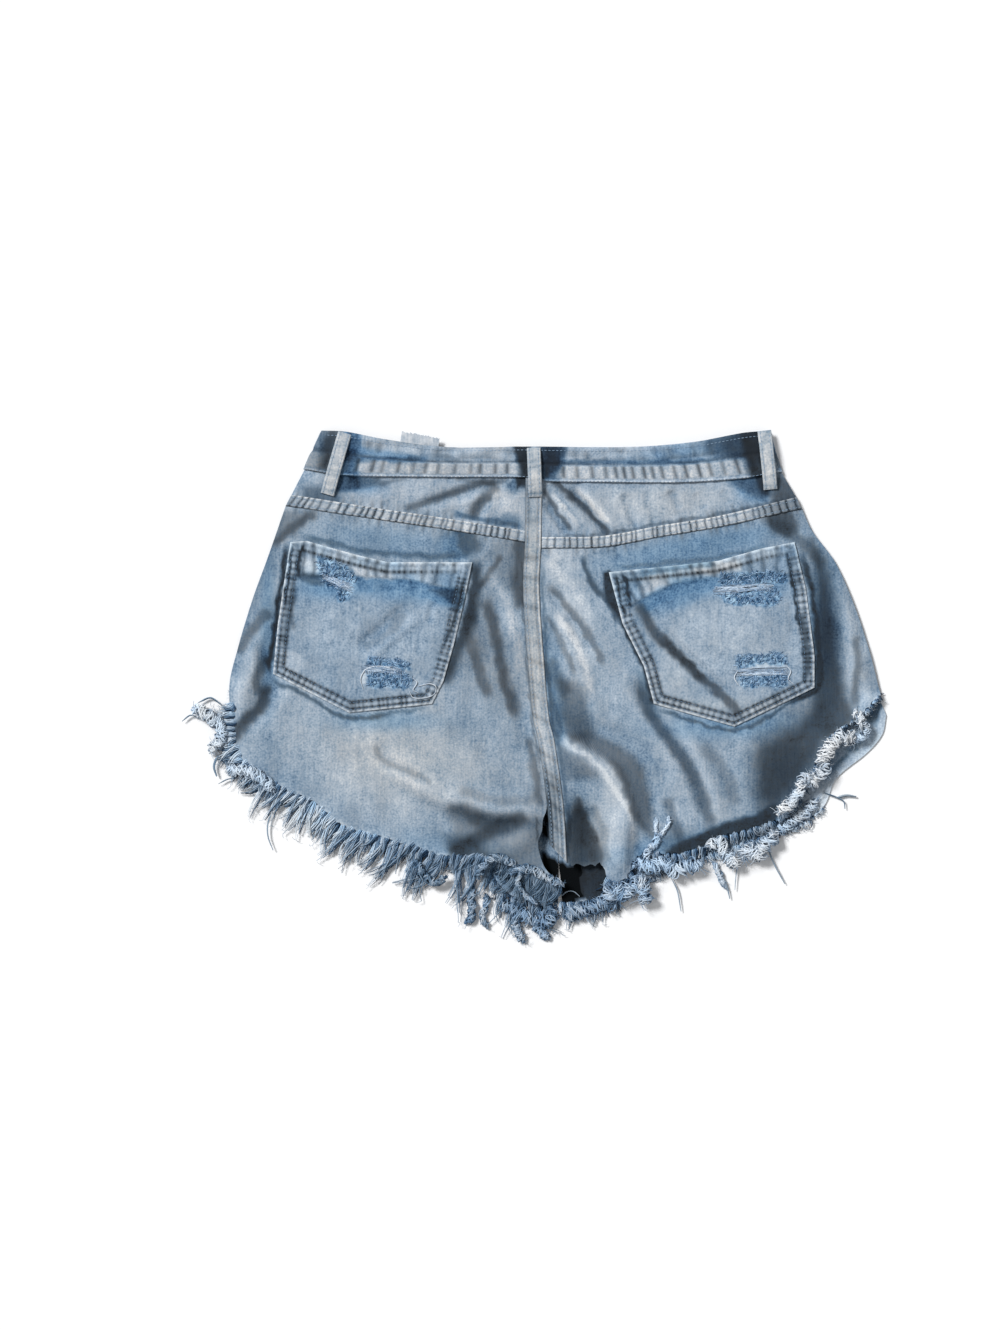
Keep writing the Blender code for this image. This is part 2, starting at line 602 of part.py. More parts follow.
def waistband(collection):
    """The waistband: one strip round the waist, flattened, its ends lapped and buttoned at the front."""
    rows = 4
    seam_side = SEAM_GAP / 30
    sections = [waistband_section(seam_side + (1 - seam_side) * row / rows) for row in range(rows + 1)]
    columns = len(sections[0]) - 1
    mesh_data = bmesh.new()
    bmesh.ops.create_grid(mesh_data, x_segments=columns, y_segments=rows, size=0.5)
    for vertex in mesh_data.verts:
        column = round((vertex.co.x + 0.5) * columns)
        row = round((vertex.co.y + 0.5) * rows)
        vertex.co = sections[row][column]
    band = finish_piece("waistband", mesh_data, "denim_worn", collection)
    solidify = band.modifiers.new("wall", "SOLIDIFY")
    solidify.thickness = WALL * MILLIMETRE
    solidify.offset = 0.0
    return band


def loop_strip(name, top, bottom, width, profile, wall, collection):
    """A strip from its top to its bottom, with its underside at profile(x, y, share)."""
    (x0, y0), (x1, y1) = top, bottom
    length = math.dist(top, bottom)
    across = (-(y1 - y0) / length * width / 2, (x1 - x0) / length * width / 2)
    steps = 8
    mesh_data = bmesh.new()
    walls = mesh_data.verts.layers.float.new("wall")
    bmesh.ops.create_grid(mesh_data, x_segments=2, y_segments=steps, size=0.5)
    for vertex in mesh_data.verts:
        side = round(vertex.co.x * 2)
        share = 0.5 - vertex.co.y
        x = x0 + (x1 - x0) * share
        y = y0 + (y1 - y0) * share
        height = profile(x, y, share)
        vertex.co = (x + across[0] * side, y + across[1] * side, height)
        vertex[walls] = wall
    thicken(mesh_data, walls)
    return finish_piece(name, mesh_data, "loop_cloth", collection)


def belt_loops(collection):
    """Three arched loops on the back and two pressed flat under the front."""
    half = LOOP_WIDTH / 2
    for name, top_x, top_y, bottom_x, bottom_y, lift in BACK_LOOPS:

        def over_back(x, y, share, lift=lift):
            highest = max(back_height(x + side * half, y) for side in (-1, 0, 1))
            return highest + lift + LOOP_ARCH * math.sin(math.pi * share) ** LOOP_ARCH_POWER

        loop_strip(name, (top_x, top_y), (bottom_x, bottom_y), LOOP_WIDTH, over_back, LOOP_WALL, collection)
    for name, centre_x, centre_y, _, half_length, _ in UNDER_PIECES[1:]:
        top = (centre_x, centre_y + half_length - 3)
        bottom = (centre_x, centre_y - half_length)
        piece_name = name.replace("front_loop", "loop_front")
        loop_strip(piece_name, top, bottom, LOOP_WIDTH, lambda x, y, share: 0.0, LOOP_WALL, collection)


def fly(collection):
    """The facing behind the front opening."""
    top = ((-16, 128), (18, 128))
    bottom = ((-10, 64), (14, 60))
    edges = (top, bottom, (top[0], bottom[0]), (top[1], bottom[1]))
    places = patch_places(edges, even(4), even(5))
    grid = cloth_grid(places, lambda x, y: front_height(x, y) + WALL + SEAM_GAP, lambda column, row: FLY_WALL)
    return finish_piece("fly", grid, "denim_inside", collection)


def label(collection):
    """A blank tag sewn inside the back of the waistband, its top edge showing over it."""
    top = ((-105, 204.5), (-75, 199))
    bottom = ((-108, 186), (-78, 180.5))
    edges = (top, bottom, (top[0], bottom[0]), (top[1], bottom[1]))
    places = patch_places(edges, even(3), even(2))
    grid = cloth_grid(places, lambda x, y: back_height(x, y) - LABEL_WALL, lambda column, row: LABEL_WALL)
    return finish_piece("label", grid, "label_cloth", collection)


def button(collection):
    """The waist button under the front, its face down on the surface."""
    mesh_data = bmesh.new()
    bmesh.ops.create_cone(
        mesh_data,
        cap_ends=True,
        segments=24,
        radius1=BUTTON_RADIUS,
        radius2=BUTTON_RADIUS - BUTTON_BEVEL,
        depth=BUTTON_HEIGHT,
    )
    bmesh.ops.translate(mesh_data, vec=(*BUTTON_PLACE, BUTTON_HEIGHT / 2), verts=mesh_data.verts)
    return finish_piece("button", mesh_data, "button_metal", collection)


def frayed_path(edge):
    """The cloth's edge cut into short steps, each place with its direction straight out of the cloth."""
    path = []
    for start, end in zip(edge, edge[1:]):
        steps = max(round(2 * math.dist(start, end) / STRAND_SPACING), 1)
        for step in range(steps):
            path.append([a + (b - a) * step / steps for a, b in zip(start, end)])
    path.append(list(edge[-1]))
    outward = []
    for index in range(len(path)):
        behind = path[max(index - 1, 0)]
        here = path[index]
        ahead = path[min(index + 1, len(path) - 1)]
        normals = []
        for start, end in ((behind, here), (here, ahead)):
            run = math.dist(start, end)
            if run > 0:
                normals.append(Vector(((end[1] - start[1]) / run, (start[0] - end[0]) / run)))
        middle = (normals[0] + normals[-1]).normalized()
        outward.append(middle / middle.dot(normals[0]))
    return path, outward


def grow_strand(mesh_data, root, length, direction, curl, floor):
    """Draws a root face of the strip out into a strand that thins, bends and comes down to just over the floor."""
    centre = root.calc_center_median()
    shape = [vertex.co - centre for vertex in root.verts]
    low = min(offset.z for offset in shape)
    drop = centre.z + low - floor
    place = centre.copy()
    steps = 2 if length > LONG_STRAND else 1
    turn = direction
    face = root
    for step in range(1, steps + 1):
        share = step / steps
        angle = math.radians(turn)
        place += Vector((math.cos(angle), math.sin(angle), 0)) * length / steps
        place.z = centre.z - drop * smooth(share)
        thin = 1 - (1 - STRAND_TIP) * share
        face = bmesh.ops.extrude_discrete_faces(mesh_data, faces=[face])["faces"][0]
        across = Vector((-math.sin(angle), math.cos(angle), 0))
        for vertex, offset in zip(face.verts, shape):
            sideways = across.dot(offset)
            vertex.co = place + across * sideways * thin + Vector((0, 0, low + (offset.z - low) * thin))
        turn += curl


def fringe(name, edge, table, height, floor, collection):
    """A frayed hem: a narrow strip just outside the cloth's edge, and the strands that grow from its outer side."""
    chance = random.Random(name)
    path, outward = frayed_path(edge)
    cuts = len(path) - 1
    mesh_data = bmesh.new()
    walls = mesh_data.verts.layers.float.new("wall")
    outer = mesh_data.verts.layers.int.new("outer")
    bmesh.ops.create_grid(mesh_data, x_segments=cuts, y_segments=1, size=0.5)
    for vertex in mesh_data.verts:
        step = round((vertex.co.x + 0.5) * cuts)
        row = round(0.5 - vertex.co.y)
        x, y = path[step]
        away = (FRINGE_GAP, FRINGE_GAP + FRINGE_STRIP)[row]
        vertex.co = (x + outward[step].x * away, y + outward[step].y * away, max(height(x, y), floor))
        vertex[walls] = FRINGE_WALL
        vertex[outer] = (step + 1) * row
    thicken(mesh_data, walls)
    roots = {}
    for face in mesh_data.faces:
        steps = [vertex[outer] for vertex in face.verts]
        if min(steps) > 0 and len(steps) == 4:
            roots[min(steps)] = face
    last = None
    for step in sorted(roots)[1::2]:
        length, direction = row_between(table, step / cuts)
        angle = math.radians(direction)
        middle = roots[step].calc_center_median()
        aim = Vector((math.cos(angle), math.sin(angle)))
        straight = outward[step].normalized().dot(aim)
        apart = abs(aim.x * (middle.y - last.y) - aim.y * (middle.x - last.x)) if last else STRAND_SPACING
        crowded = straight < STRAND_LEAST_OUTWARD or apart < STRAND_LEAST_APART * STRAND_SPACING
        if crowded or length < SHORTEST_STRAND:
            continue
        last = middle
        length *= chance.uniform(*STRAND_LENGTHS)
        for of_hem, place, stray_length in STRAYS:
            if of_hem == name and abs(step / cuts - place) <= 1 / cuts:
                length = stray_length
        curl = chance.uniform(-STRAND_BEND, STRAND_BEND)
        grow_strand(mesh_data, roots[step], length, direction, curl, floor)
    return finish_piece(name, mesh_data, "fringe_cotton", collection)


def fringes(collection):
    """The frayed hem of each panel. The back's lies over the front's."""
    back_left = back_left_places()
    side = [row[0] for row in back_left if row[0][1] < 6]
    back_right = [place for place in back_right_places()[-1] if place[0] > 59]
    front_left, front_right = front_places()
    made = (
        ("fringe_back_left", side[:-1] + back_left[-1], BACK_LEFT_STRANDS, back_height, BACK_FRINGE_FLOOR),
        ("fringe_back_right", back_right, BACK_RIGHT_STRANDS, back_height, BACK_FRINGE_FLOOR),
        ("fringe_front_left", front_left[-1], FRONT_LEFT_STRANDS, front_height, FRONT_FRINGE_FLOOR),
        ("fringe_front_right", front_right[-1], FRONT_RIGHT_STRANDS, front_height, FRONT_FRINGE_FLOOR),
    )
    for row in made:
        fringe(*row, collection)


def build():
    collection = bpy.data.collections.new("denim_shorts")
    cutters = bpy.data.collections.new("cutters")
    for made in (collection, cutters):
        bpy.context.scene.collection.children.link(made)
    front_legs(collection)
    fly(collection)
    button(collection)
    back_legs(collection)
    pockets(collection, cutters)
    yoke_left(collection)
    yoke_right(collection)
    waistband(collection)
    label(collection)
    belt_loops(collection)
    fringes(collection)


for startup_object in list(bpy.data.objects):
    bpy.data.objects.remove(startup_object)
build()
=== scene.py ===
"""Cut-off denim shorts, laid flat with the back up.

Sizes are in millimetres until a mesh is made. +X is the wearer's right, +Y runs to the waist and +Z is up.
"""

import math

import bmesh
import bpy
import numpy as np
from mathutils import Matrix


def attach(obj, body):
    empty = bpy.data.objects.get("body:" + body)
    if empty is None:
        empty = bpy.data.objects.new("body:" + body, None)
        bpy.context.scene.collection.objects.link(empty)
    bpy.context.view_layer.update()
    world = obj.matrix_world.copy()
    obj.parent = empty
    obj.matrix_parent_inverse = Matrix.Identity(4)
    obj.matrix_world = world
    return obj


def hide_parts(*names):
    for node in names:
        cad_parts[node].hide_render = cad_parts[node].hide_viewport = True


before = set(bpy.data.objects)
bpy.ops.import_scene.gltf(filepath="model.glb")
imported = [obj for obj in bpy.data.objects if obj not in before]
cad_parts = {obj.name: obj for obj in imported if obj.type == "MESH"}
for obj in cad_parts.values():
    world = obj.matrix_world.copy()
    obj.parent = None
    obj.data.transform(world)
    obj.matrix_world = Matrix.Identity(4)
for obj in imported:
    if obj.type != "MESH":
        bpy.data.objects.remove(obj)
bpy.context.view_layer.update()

# ---------------------------------------------------------------------------------------------
# The surface is a plain matt board, lit as in a studio: one wide soft lamp high on the left
# and a pale room all round. The camera looks straight down on the garment.
MM = 0.001
BOARD_HALF = 3.0
BOARD_DEPTH = 0.0004
BOARD_COLOUR = (0.88, 0.88, 0.885, 1)
VIEW_CENTRE = (-0.0268, 0.018)
VIEW_TALL = 1.064
CAMERA_HEIGHT = 2.4
SENSOR = 36.0
LAMP_ELEVATION = math.radians(46)
LAMP_AZIMUTH = math.radians(140)
LAMP_SOFTNESS = math.radians(16)
LAMP_POWER = 3.5
ROOM_COLOUR = (0.97, 0.985, 1.0, 1)
ROOM_GLOW = 0.40

scene = bpy.context.scene
board_mesh = bpy.data.meshes.new("board")
edit = bmesh.new()
bmesh.ops.create_grid(edit, x_segments=2, y_segments=2, size=BOARD_HALF)
bmesh.ops.translate(edit, vec=(0, 0, -BOARD_DEPTH), verts=edit.verts)
edit.to_mesh(board_mesh)
edit.free()
board = bpy.data.objects.new("board", board_mesh)
scene.collection.objects.link(board)
board_paint = bpy.data.materials.new("board_paint")
board_paint.use_nodes = True
board_shader = board_paint.node_tree.nodes["Principled BSDF"]
board_shader.inputs["Base Color"].default_value = BOARD_COLOUR
board_shader.inputs["Roughness"].default_value = 0.95
board_mesh.materials.append(board_paint)

room = bpy.data.worlds.new("room")
room.use_nodes = True
glow = room.node_tree.nodes["Background"].inputs
glow["Color"].default_value = ROOM_COLOUR
glow["Strength"].default_value = ROOM_GLOW
scene.world = room
lamp_data = bpy.data.lights.new("lamp", "SUN")
lamp_data.energy = LAMP_POWER
lamp_data.angle = LAMP_SOFTNESS
lamp = bpy.data.objects.new("lamp", lamp_data)
lamp.rotation_euler = (0, math.pi / 2 - LAMP_ELEVATION, LAMP_AZIMUTH)
scene.collection.objects.link(lamp)

camera_data = bpy.data.cameras.new("camera")
camera_data.sensor_fit = "VERTICAL"
camera_data.sensor_height = SENSOR
camera_data.lens = SENSOR * CAMERA_HEIGHT / VIEW_TALL
camera = bpy.data.objects.new("camera", camera_data)
camera.location = (*VIEW_CENTRE, CAMERA_HEIGHT)
scene.collection.objects.link(camera)
scene.camera = camera
scene.view_settings.view_transform = "Standard"

# ---------------------------------------------------------------------------------------------
# The front legs lie face down on the surface, under everything else. They are two panels of
# washed denim, cut off at the hems, which show past the back's hems and in the gap at the crotch.
FRONT_WALL = 1.2
FRONT_INSET = 1.6
SEAM_HALF_GAP = 0.3
CLOTH_GRID = 3.0
SHARP_ANGLE = math.radians(50)
FRONT_WASH = (0.5, 0.15, 0.0)
LEFT_SIDE = ((-169, 205), (-183, 174), (-198, 145), (-213, 102), (-224, 72), (-236, 32), (-243, 1), (-240, -47))
RIGHT_SIDE = ((188, 205), (198, 172), (211, 150), (222, 126), (241, 100), (256, 66), (268, 30), (277, -5))
WAIST_SEAM = ((-183, 174), (-155, 169.5), (-90, 168), (-6, 167.5), (12, 164.5), (53, 164), (116, 163.5),
              (170, 167), (198, 172))
CENTRE_LINE = ((0, 192), (0, 152), (-0.5, 114), (-2, 79), (2, 18), (6, -25), (10, -42), (17, -92), (20, -139))
FRONT_SEAM_TOP = 166.2
FRONT_SEAM_FOOT = -139
FRONT_HEM_LEFT = ((-238, -2), (-230, -48), (-178, -80), (-103, -113), (-50, -130), (-18, -166), (19, -173))
FRONT_HEM_RIGHT = ((23, -172), (60, -168), (85, -156), (117, -140), (150, -130), (180, -120), (213, -108),
                   (232, -95), (242, -73), (268, -51), (279, -37), (282, -22))
# What lies under the front at the waist: centre x, centre y, half width, half length, height
UNDER_PIECES = ((4.0, 180.0, 9.0, 9.0, 2.3), (-92.0, 176.0, 6.5, 22.0, 1.5), (98.0, 174.0, 6.5, 22.0, 1.5))
UNDER_MARGIN = 2.0
UNDER_FADE = 24.0


def smooth(value):
    """0 to 1 with level ends."""
    held = np.clip(value, 0.0, 1.0)
    return held * held * (3 - 2 * held)


def inside_ends(share, width):
    """0 at both ends of a share, and 1 once it is a width past them."""
    return smooth(share / width) * smooth((1 - share) / width)


def bell(value, middle, width):
    """1 where a value is at the middle, and nearly 0 two widths away from it."""
    return np.exp(-(((value - middle) / width) ** 2))


def lengths_of(points):
    """How far along a line of straight runs each of its points is."""
    return np.concatenate([[0.0], np.cumsum(np.hypot(*np.diff(np.array(points, float), axis=0).T))])


def curve(points, shares):
    """Places on a smooth line through the points, at shares of its length."""
    knots = np.array(points, float)
    lengths = lengths_of(points)
    slopes = np.array([
        (knots[min(i + 1, len(knots) - 1)] - knots[max(i - 1, 0)])
        / (lengths[min(i + 1, len(knots) - 1)] - lengths[max(i - 1, 0)])
        for i in range(len(knots))
    ])
    target = np.clip(shares, 0, 1) * lengths[-1]
    i = np.clip(np.searchsorted(lengths, target, side="right") - 1, 0, len(knots) - 2)
    span = (lengths[i + 1] - lengths[i])[:, None]
    t = (target - lengths[i])[:, None] / span
    return (
        (2 * t**3 - 3 * t**2 + 1) * knots[i]
        + (t**3 - 2 * t**2 + t) * span * slopes[i]
        + (3 * t**2 - 2 * t**3) * knots[i + 1]
        + (t**3 - t**2) * span * slopes[i + 1]
    )


def smooth_line(points, count):
    """A number of points spaced evenly along a smooth line."""
    return [tuple(p) for p in curve(points, np.linspace(0, 1, count))]


def straight(points, shares):
    """Places on the straight runs between the points."""
    knots = np.array(points, float)
    lengths = lengths_of(points)
    target = np.clip(shares, 0, 1) * lengths[-1]
    return np.stack([np.interp(target, lengths, knots[:, axis]) for axis in (0, 1)], axis=1)


def shares_of(points, spacing):
    """Shares along a line: each of its points, and more between them to keep the spacing."""
    lengths = lengths_of(points)
    shares = [0.0]
    for low, high in zip(lengths, lengths[1:]):
        steps = max(int(round((high - low) / spacing)), 1)
        shares += [(low + (high - low) * (step + 1) / steps) / lengths[-1] for step in range(steps)]
    return np.array(shares)


def patch(top, bottom, left, right, columns, rows, follow=curve):
    """x and y of a grid that fills four edges. Rows run down from the top edge and columns from the left one."""
    upper, lower = follow(top, columns), follow(bottom, columns)
    start, end = follow(left, rows), follow(right, rows)
    u, v = columns[None, :], rows[:, None]
    grids = []
    for axis in (0, 1):
        across = (1 - v) * upper[None, :, axis] + v * lower[None, :, axis]
        down = (1 - u) * start[:, None, axis] + u * end[:, None, axis]
        corners = (1 - u) * ((1 - v) * top[0][axis] + v * bottom[0][axis])
        corners = corners + u * ((1 - v) * top[-1][axis] + v * bottom[-1][axis])
        grids.append(across + down - corners)
    return grids


def x_at(line, y):
    """The x of a line that runs down the garment, at heights y."""
    knots = np.array(line, float)[::-1]
    return np.interp(y, knots[:, 1], knots[:, 0])


def part_of(line, top, bottom):
    """The stretch of a line that runs down the garment between two heights."""
    inside = [point for point in line if bottom < point[1] < top]
    return ((float(x_at(line, top)), top), *inside, (float(x_at(line, bottom)), bottom))


def moved(line, dx, dy):
    """A line moved over the plan."""
    return tuple((x + dx, y + dy) for x, y in line)


def beside(x, y, line):
    """How far each place is from a line of straight runs, on which side, and how far along the line."""
    lengths = lengths_of(line)
    away = np.full(x.shape, 1e6)
    side = np.zeros(x.shape)
    run = np.zeros(x.shape)
    for i, ((x0, y0), (x1, y1)) in enumerate(zip(line, line[1:])):
        span = lengths[i + 1] - lengths[i]
        t = np.clip(((x - x0) * (x1 - x0) + (y - y0) * (y1 - y0)) / span**2, 0, 1)
        here = np.hypot(x - x0 - t * (x1 - x0), y - y0 - t * (y1 - y0))
        nearer = here < away
        away = np.where(nearer, here, away)
        side = np.where(nearer, np.sign((x1 - x0) * (y - y0) - (y1 - y0) * (x - x0)), side)
        run = np.where(nearer, lengths[i] + t * span, run)
    return away, side, run


def near_to(x, y, line, reach):
    """Which places are in the box round a line, widened by a reach."""
    low, high = np.min(line, axis=0) - reach, np.max(line, axis=0) + reach
    return (x > low[0]) & (x < high[0]) & (y > low[1]) & (y < high[1])


def rumple(x, y, across, along, seed):
    """Soft uneven heights from -1 to 1, with swells of a size across and along the cloth."""
    table = np.random.default_rng(seed).uniform(-1, 1, (64, 64))
    u, v = x / across, y / along
    i, j = np.floor(u).astype(int), np.floor(v).astype(int)
    s, t = smooth(u - i), smooth(v - j)
    low = table[j % 64, i % 64] * (1 - s) + table[j % 64, (i + 1) % 64] * s
    high = table[(j + 1) % 64, i % 64] * (1 - s) + table[(j + 1) % 64, (i + 1) % 64] * s
    return low * (1 - t) + high * t


def softened(heights, passes):
    """The heights with their small relief smoothed away."""
    held = heights.copy()
    for _ in range(passes):
        held = np.pad(held, 1, mode="edge")
        held = (held[1:-1, :-2] + held[1:-1, 2:] + held[:-2, 1:-1] + held[2:, 1:-1] + held[1:-1, 1:-1] * 4) / 8
    return held


def spots_at(x, y, spots):
    """The wash that the worn, blue and darker places add: fade, indigo, warmth and painted shade."""
    found = np.zeros((*x.shape, 4))
    for centre_x, centre_y, reach_x, reach_y, turn, *amounts in spots:
        angle = math.radians(turn)
        across = (x - centre_x) * math.cos(angle) + (y - centre_y) * math.sin(angle)
        along = (y - centre_y) * math.cos(angle) - (x - centre_x) * math.sin(angle)
        share = np.exp(-1.4 * ((across / reach_x) ** 2 + (along / reach_y) ** 2) ** 1.3)
        found[..., :len(amounts)] += share[..., None] * np.array(amounts)
    return found


def even_wash(x, fade, indigo, warmth, painted_shade=0.0):
    """One wash over a whole piece."""
    return np.zeros((*x.shape, 4)) + np.array((fade, indigo, warmth, painted_shade))


def grid_faces(shape):
    """The faces of a grid of points, anticlockwise where its rows run down and its columns to the right."""
    index = np.arange(shape[0] * shape[1]).reshape(shape)
    return np.stack([index[:-1, :-1], index[1:, :-1], index[1:, 1:], index[:-1, 1:]], axis=-1).reshape(-1, 4)


def shell(x, y, top, wall, wash, keep=None):
    """A closed sheet of cloth: points, faces and wash. Faces that aren't kept leave a hole with its own wall."""
    count = x.size
    quads = grid_faces(x.shape)
    if keep is not None:
        quads = quads[keep.reshape(-1)]
    starts = quads.reshape(-1)
    ends = np.roll(quads, -1, axis=1).reshape(-1)
    rim = ~np.isin(starts * count + ends, ends * count + starts)
    starts, ends = starts[rim], ends[rim]
    walls = np.stack([ends, starts, starts + count, ends + count], axis=1)
    points = np.stack([x, y, top], axis=-1).reshape(-1, 3)
    under = np.stack([x, y, top - wall], axis=-1).reshape(-1, 3)
    faces = np.concatenate([quads, quads[:, ::-1] + count, walls])
    points = np.concatenate([points, under])
    wash = np.concatenate([wash.reshape(-1, 4)] * 2)
    used, faces = np.unique(faces, return_inverse=True)
    return points[used], faces.reshape(-1, 4), wash[used]


def cloth_piece(name, shells, finish):
    """Joins shells into one mesh object in metres, with its wash and its painted shade as attributes."""
    points, faces, wash, base = [], [], [], 0
    for shell_points, shell_faces, shell_wash in shells:
        points.append(shell_points)
        faces.append(shell_faces + base)
        wash.append(shell_wash)
        base += len(shell_points)
    points, faces, wash = np.concatenate(points), np.concatenate(faces), np.concatenate(wash)
    mesh = bpy.data.meshes.new(name)
    mesh.from_pydata((points * MM).tolist(), [], faces.tolist())
    tones = np.column_stack([wash[:, :3], np.ones(len(wash))])
    colours = mesh.attributes.new("wash", "FLOAT_COLOR", "POINT")
    colours.data.foreach_set("color", tones.astype(np.float32).reshape(-1))
    mesh.attributes.new("painted_shade", "FLOAT", "POINT").data.foreach_set("value", wash[:, 3].astype(np.float32))
    mesh.shade_smooth()
    mesh.set_sharp_from_angle(angle=SHARP_ANGLE)
    mesh.materials.append(finish)
    piece = bpy.data.objects.new(name, mesh)
    scene.collection.objects.link(piece)
    return piece


def add_node(tree, kind, inputs, **settings):
    """A node with its settings, and its inputs given values or joined to other nodes' outputs."""
    node = tree.nodes.new(kind)
    for name, value in settings.items():
        setattr(node, name, value)
    for name, value in inputs.items():
        if isinstance(value, bpy.types.NodeSocket):
            tree.links.new(value, node.inputs[name])
        else:
            node.inputs[name].default_value = value
    return node


def mixed(tree, factor, first, second, blend="MIX"):
    """One colour over another."""
    node = tree.nodes.new("ShaderNodeMix")
    node.data_type = "RGBA"
    node.blend_type = blend
    for index, value in ((0, factor), (6, first), (7, second)):
        if isinstance(value, bpy.types.NodeSocket):
            tree.links.new(value, node.inputs[index])
        else:
            node.inputs[index].default_value = value
    return node.outputs[2]


def summed(tree, start, terms):
    """start plus each noise's departure from its middle, times its strength."""
    total = start
    for value, strength in terms:
        inputs = {0: value, 1: strength, 2: -strength / 2}
        scaled = add_node(tree, "ShaderNodeMath", inputs, operation="MULTIPLY_ADD")
        total = add_node(tree, "ShaderNodeMath", {0: total, 1: scaled.outputs[0]}, operation="ADD").outputs[0]
    return total


# The colours of the cloth from dark to pale: place in the wash, colour
WASH_TONES = (
    (0.0, (0.012, 0.028, 0.055, 1)),
    (0.2, (0.055, 0.105, 0.175, 1)),
    (0.42, (0.165, 0.245, 0.34, 1)),
    (0.62, (0.32, 0.395, 0.48, 1)),
    (0.82, (0.50, 0.555, 0.62, 1)),
    (1.0, (0.76, 0.79, 0.82, 1)),
)
WARM_TINT = (1.0, 0.93, 0.85, 1)
# The dark grey that painted shade darkens the cloth towards, and the near black of painted shadow where it runs
# past full
PAINTED_SHADE_COLOUR = (0.019, 0.024, 0.030, 1)
UNLIT = (0.001, 0.002, 0.003, 1)


def noise(tree, place, scale, detail):
    """Uneven values from 0 to 1 over the cloth."""
    return add_node(tree, "ShaderNodeTexNoise", {"Vector": place, "Scale": scale, "Detail": detail}).outputs[0]


def clamped(tree, value, most):
    """A value held between 0 and the most that it may be."""
    return add_node(tree, "ShaderNodeClamp", {"Value": value, "Max": most}).outputs[0]


def washed_material(name, specular):
    """A new matt material: itself, its tree, its shader, places in millimetres, and the parts of its wash."""
    made = bpy.data.materials.new(name)
    made.use_nodes = True
    tree = made.node_tree
    shader = tree.nodes["Principled BSDF"]
    shader.inputs["Specular IOR Level"].default_value = specular
    place = add_node(tree, "ShaderNodeTexCoord", {}).outputs["Object"]
    even = add_node(tree, "ShaderNodeMapping", {"Vector": place, "Scale": (1000, 1000, 1000)}).outputs[0]
    wash = add_node(tree, "ShaderNodeAttribute", {}, attribute_name="wash").outputs["Color"]
    parts = add_node(tree, "ShaderNodeSeparateColor", {"Color": wash}).outputs
    return made, tree, shader, place, even, parts


def wash_ramp(tree, fade):
    """The colour of the cloth at each fade."""
    ramp = add_node(tree, "ShaderNodeValToRGB", {"Fac": fade})
    while len(ramp.color_ramp.elements) < len(WASH_TONES):
        ramp.color_ramp.elements.new(0.5)
    for element, (position, tone) in zip(ramp.color_ramp.elements, WASH_TONES):
        element.position = position
        element.color = tone
    return ramp.outputs[0]


def surfaced(tree, shader, height, strength, depth, uneven, least, most):
    """Gives a shader its fine relief, and a roughness that varies with a noise."""
    bump = add_node(tree, "ShaderNodeBump", {"Height": height, "Strength": strength, "Distance": depth})
    tree.links.new(bump.outputs[0], shader.inputs["Normal"])
    rough = add_node(tree, "ShaderNodeMapRange", {"Value": uneven, "To Min": least, "To Max": most})
    tree.links.new(rough.outputs[0], shader.inputs["Roughness"])


def denim(name, indigo, coarse=1.0):
    """Washed twill: its wash, broken up by mottle, slubs and grain, darkened by painted shade, which turns to the
    near black of painted shadow past full.
    """
    made, tree, shader, place, even, parts = washed_material(name, 0.12)
    drawn = add_node(tree, "ShaderNodeMapping", {"Vector": place, "Scale": (1000, 90, 300)}).outputs[0]
    mottle = noise(tree, even, 0.05, 5.0)
    blotch = noise(tree, even, 0.16, 4.0)
    grain = noise(tree, even, 0.62, 3.0)
    slub = noise(tree, drawn, 0.55, 2.0)
    twill = add_node(tree, "ShaderNodeTexWave", {"Vector": even, "Scale": 0.62, "Distortion": 0.6},
                     bands_direction="DIAGONAL").outputs[1]
    broken = ((mottle, 0.3), (blotch, 0.46), (grain, 0.78 * coarse), (slub, 0.26), (twill, 0.05))
    washed = wash_ramp(tree, summed(tree, parts[0], broken))
    dyed = clamped(tree, summed(tree, parts[1], ((grain, 0.5), (blotch, 0.3))), 0.85)
    blue = mixed(tree, 1.0, washed, indigo, blend="MULTIPLY")
    colour = mixed(tree, dyed, washed, blue)
    warmed = mixed(tree, 1.0, colour, WARM_TINT, blend="MULTIPLY")
    warmed = mixed(tree, clamped(tree, parts[2], 0.9), colour, warmed)
    # Painted shade from the wash, made uneven, then near black painted shadow where it runs past full
    painted_shade_fac = add_node(tree, "ShaderNodeAttribute", {}, attribute_name="painted_shade").outputs["Fac"]
    shade_strength = clamped(tree, summed(tree, painted_shade_fac, ((blotch, 0.3), (grain, 0.34))), 1.02)
    deep = mixed(tree, shade_strength, warmed, PAINTED_SHADE_COLOUR)
    unlit = add_node(tree, "ShaderNodeMapRange", {"Value": painted_shade_fac, "From Min": 1.0, "From Max": 1.03}).outputs[0]
    tree.links.new(mixed(tree, unlit, deep, UNLIT), shader.inputs["Base Color"])
    relief = summed(tree, twill, ((grain, 2.2 * coarse), (slub, 1.4)))
    surfaced(tree, shader, relief, 0.5, 0.0004, grain, 0.84, 0.98)
    return made


# Points drawn for each point of a line, and the least part of the cloth's own colour that shade leaves
CURVE_POINTS = 5
LEAST_CLEAR = 0.06


def line_share(x, y, left_reach, right_reach, line):
    """1 on a soft-edged stroke along a line, 0 past its reach and its ends."""
    near = near_to(x, y, line, max(left_reach, right_reach))
    found = np.zeros(x.shape)
    if near.any():
        drawn = smooth_line(line, CURVE_POINTS * len(line))
        away, side, run = beside(x[near], y[near], drawn)
        ends = inside_ends(run / lengths_of(drawn)[-1], 0.12)
        found[near] = ends * smooth((1 - away / np.where(side > 0, left_reach, right_reach)) / 0.8)
    return found


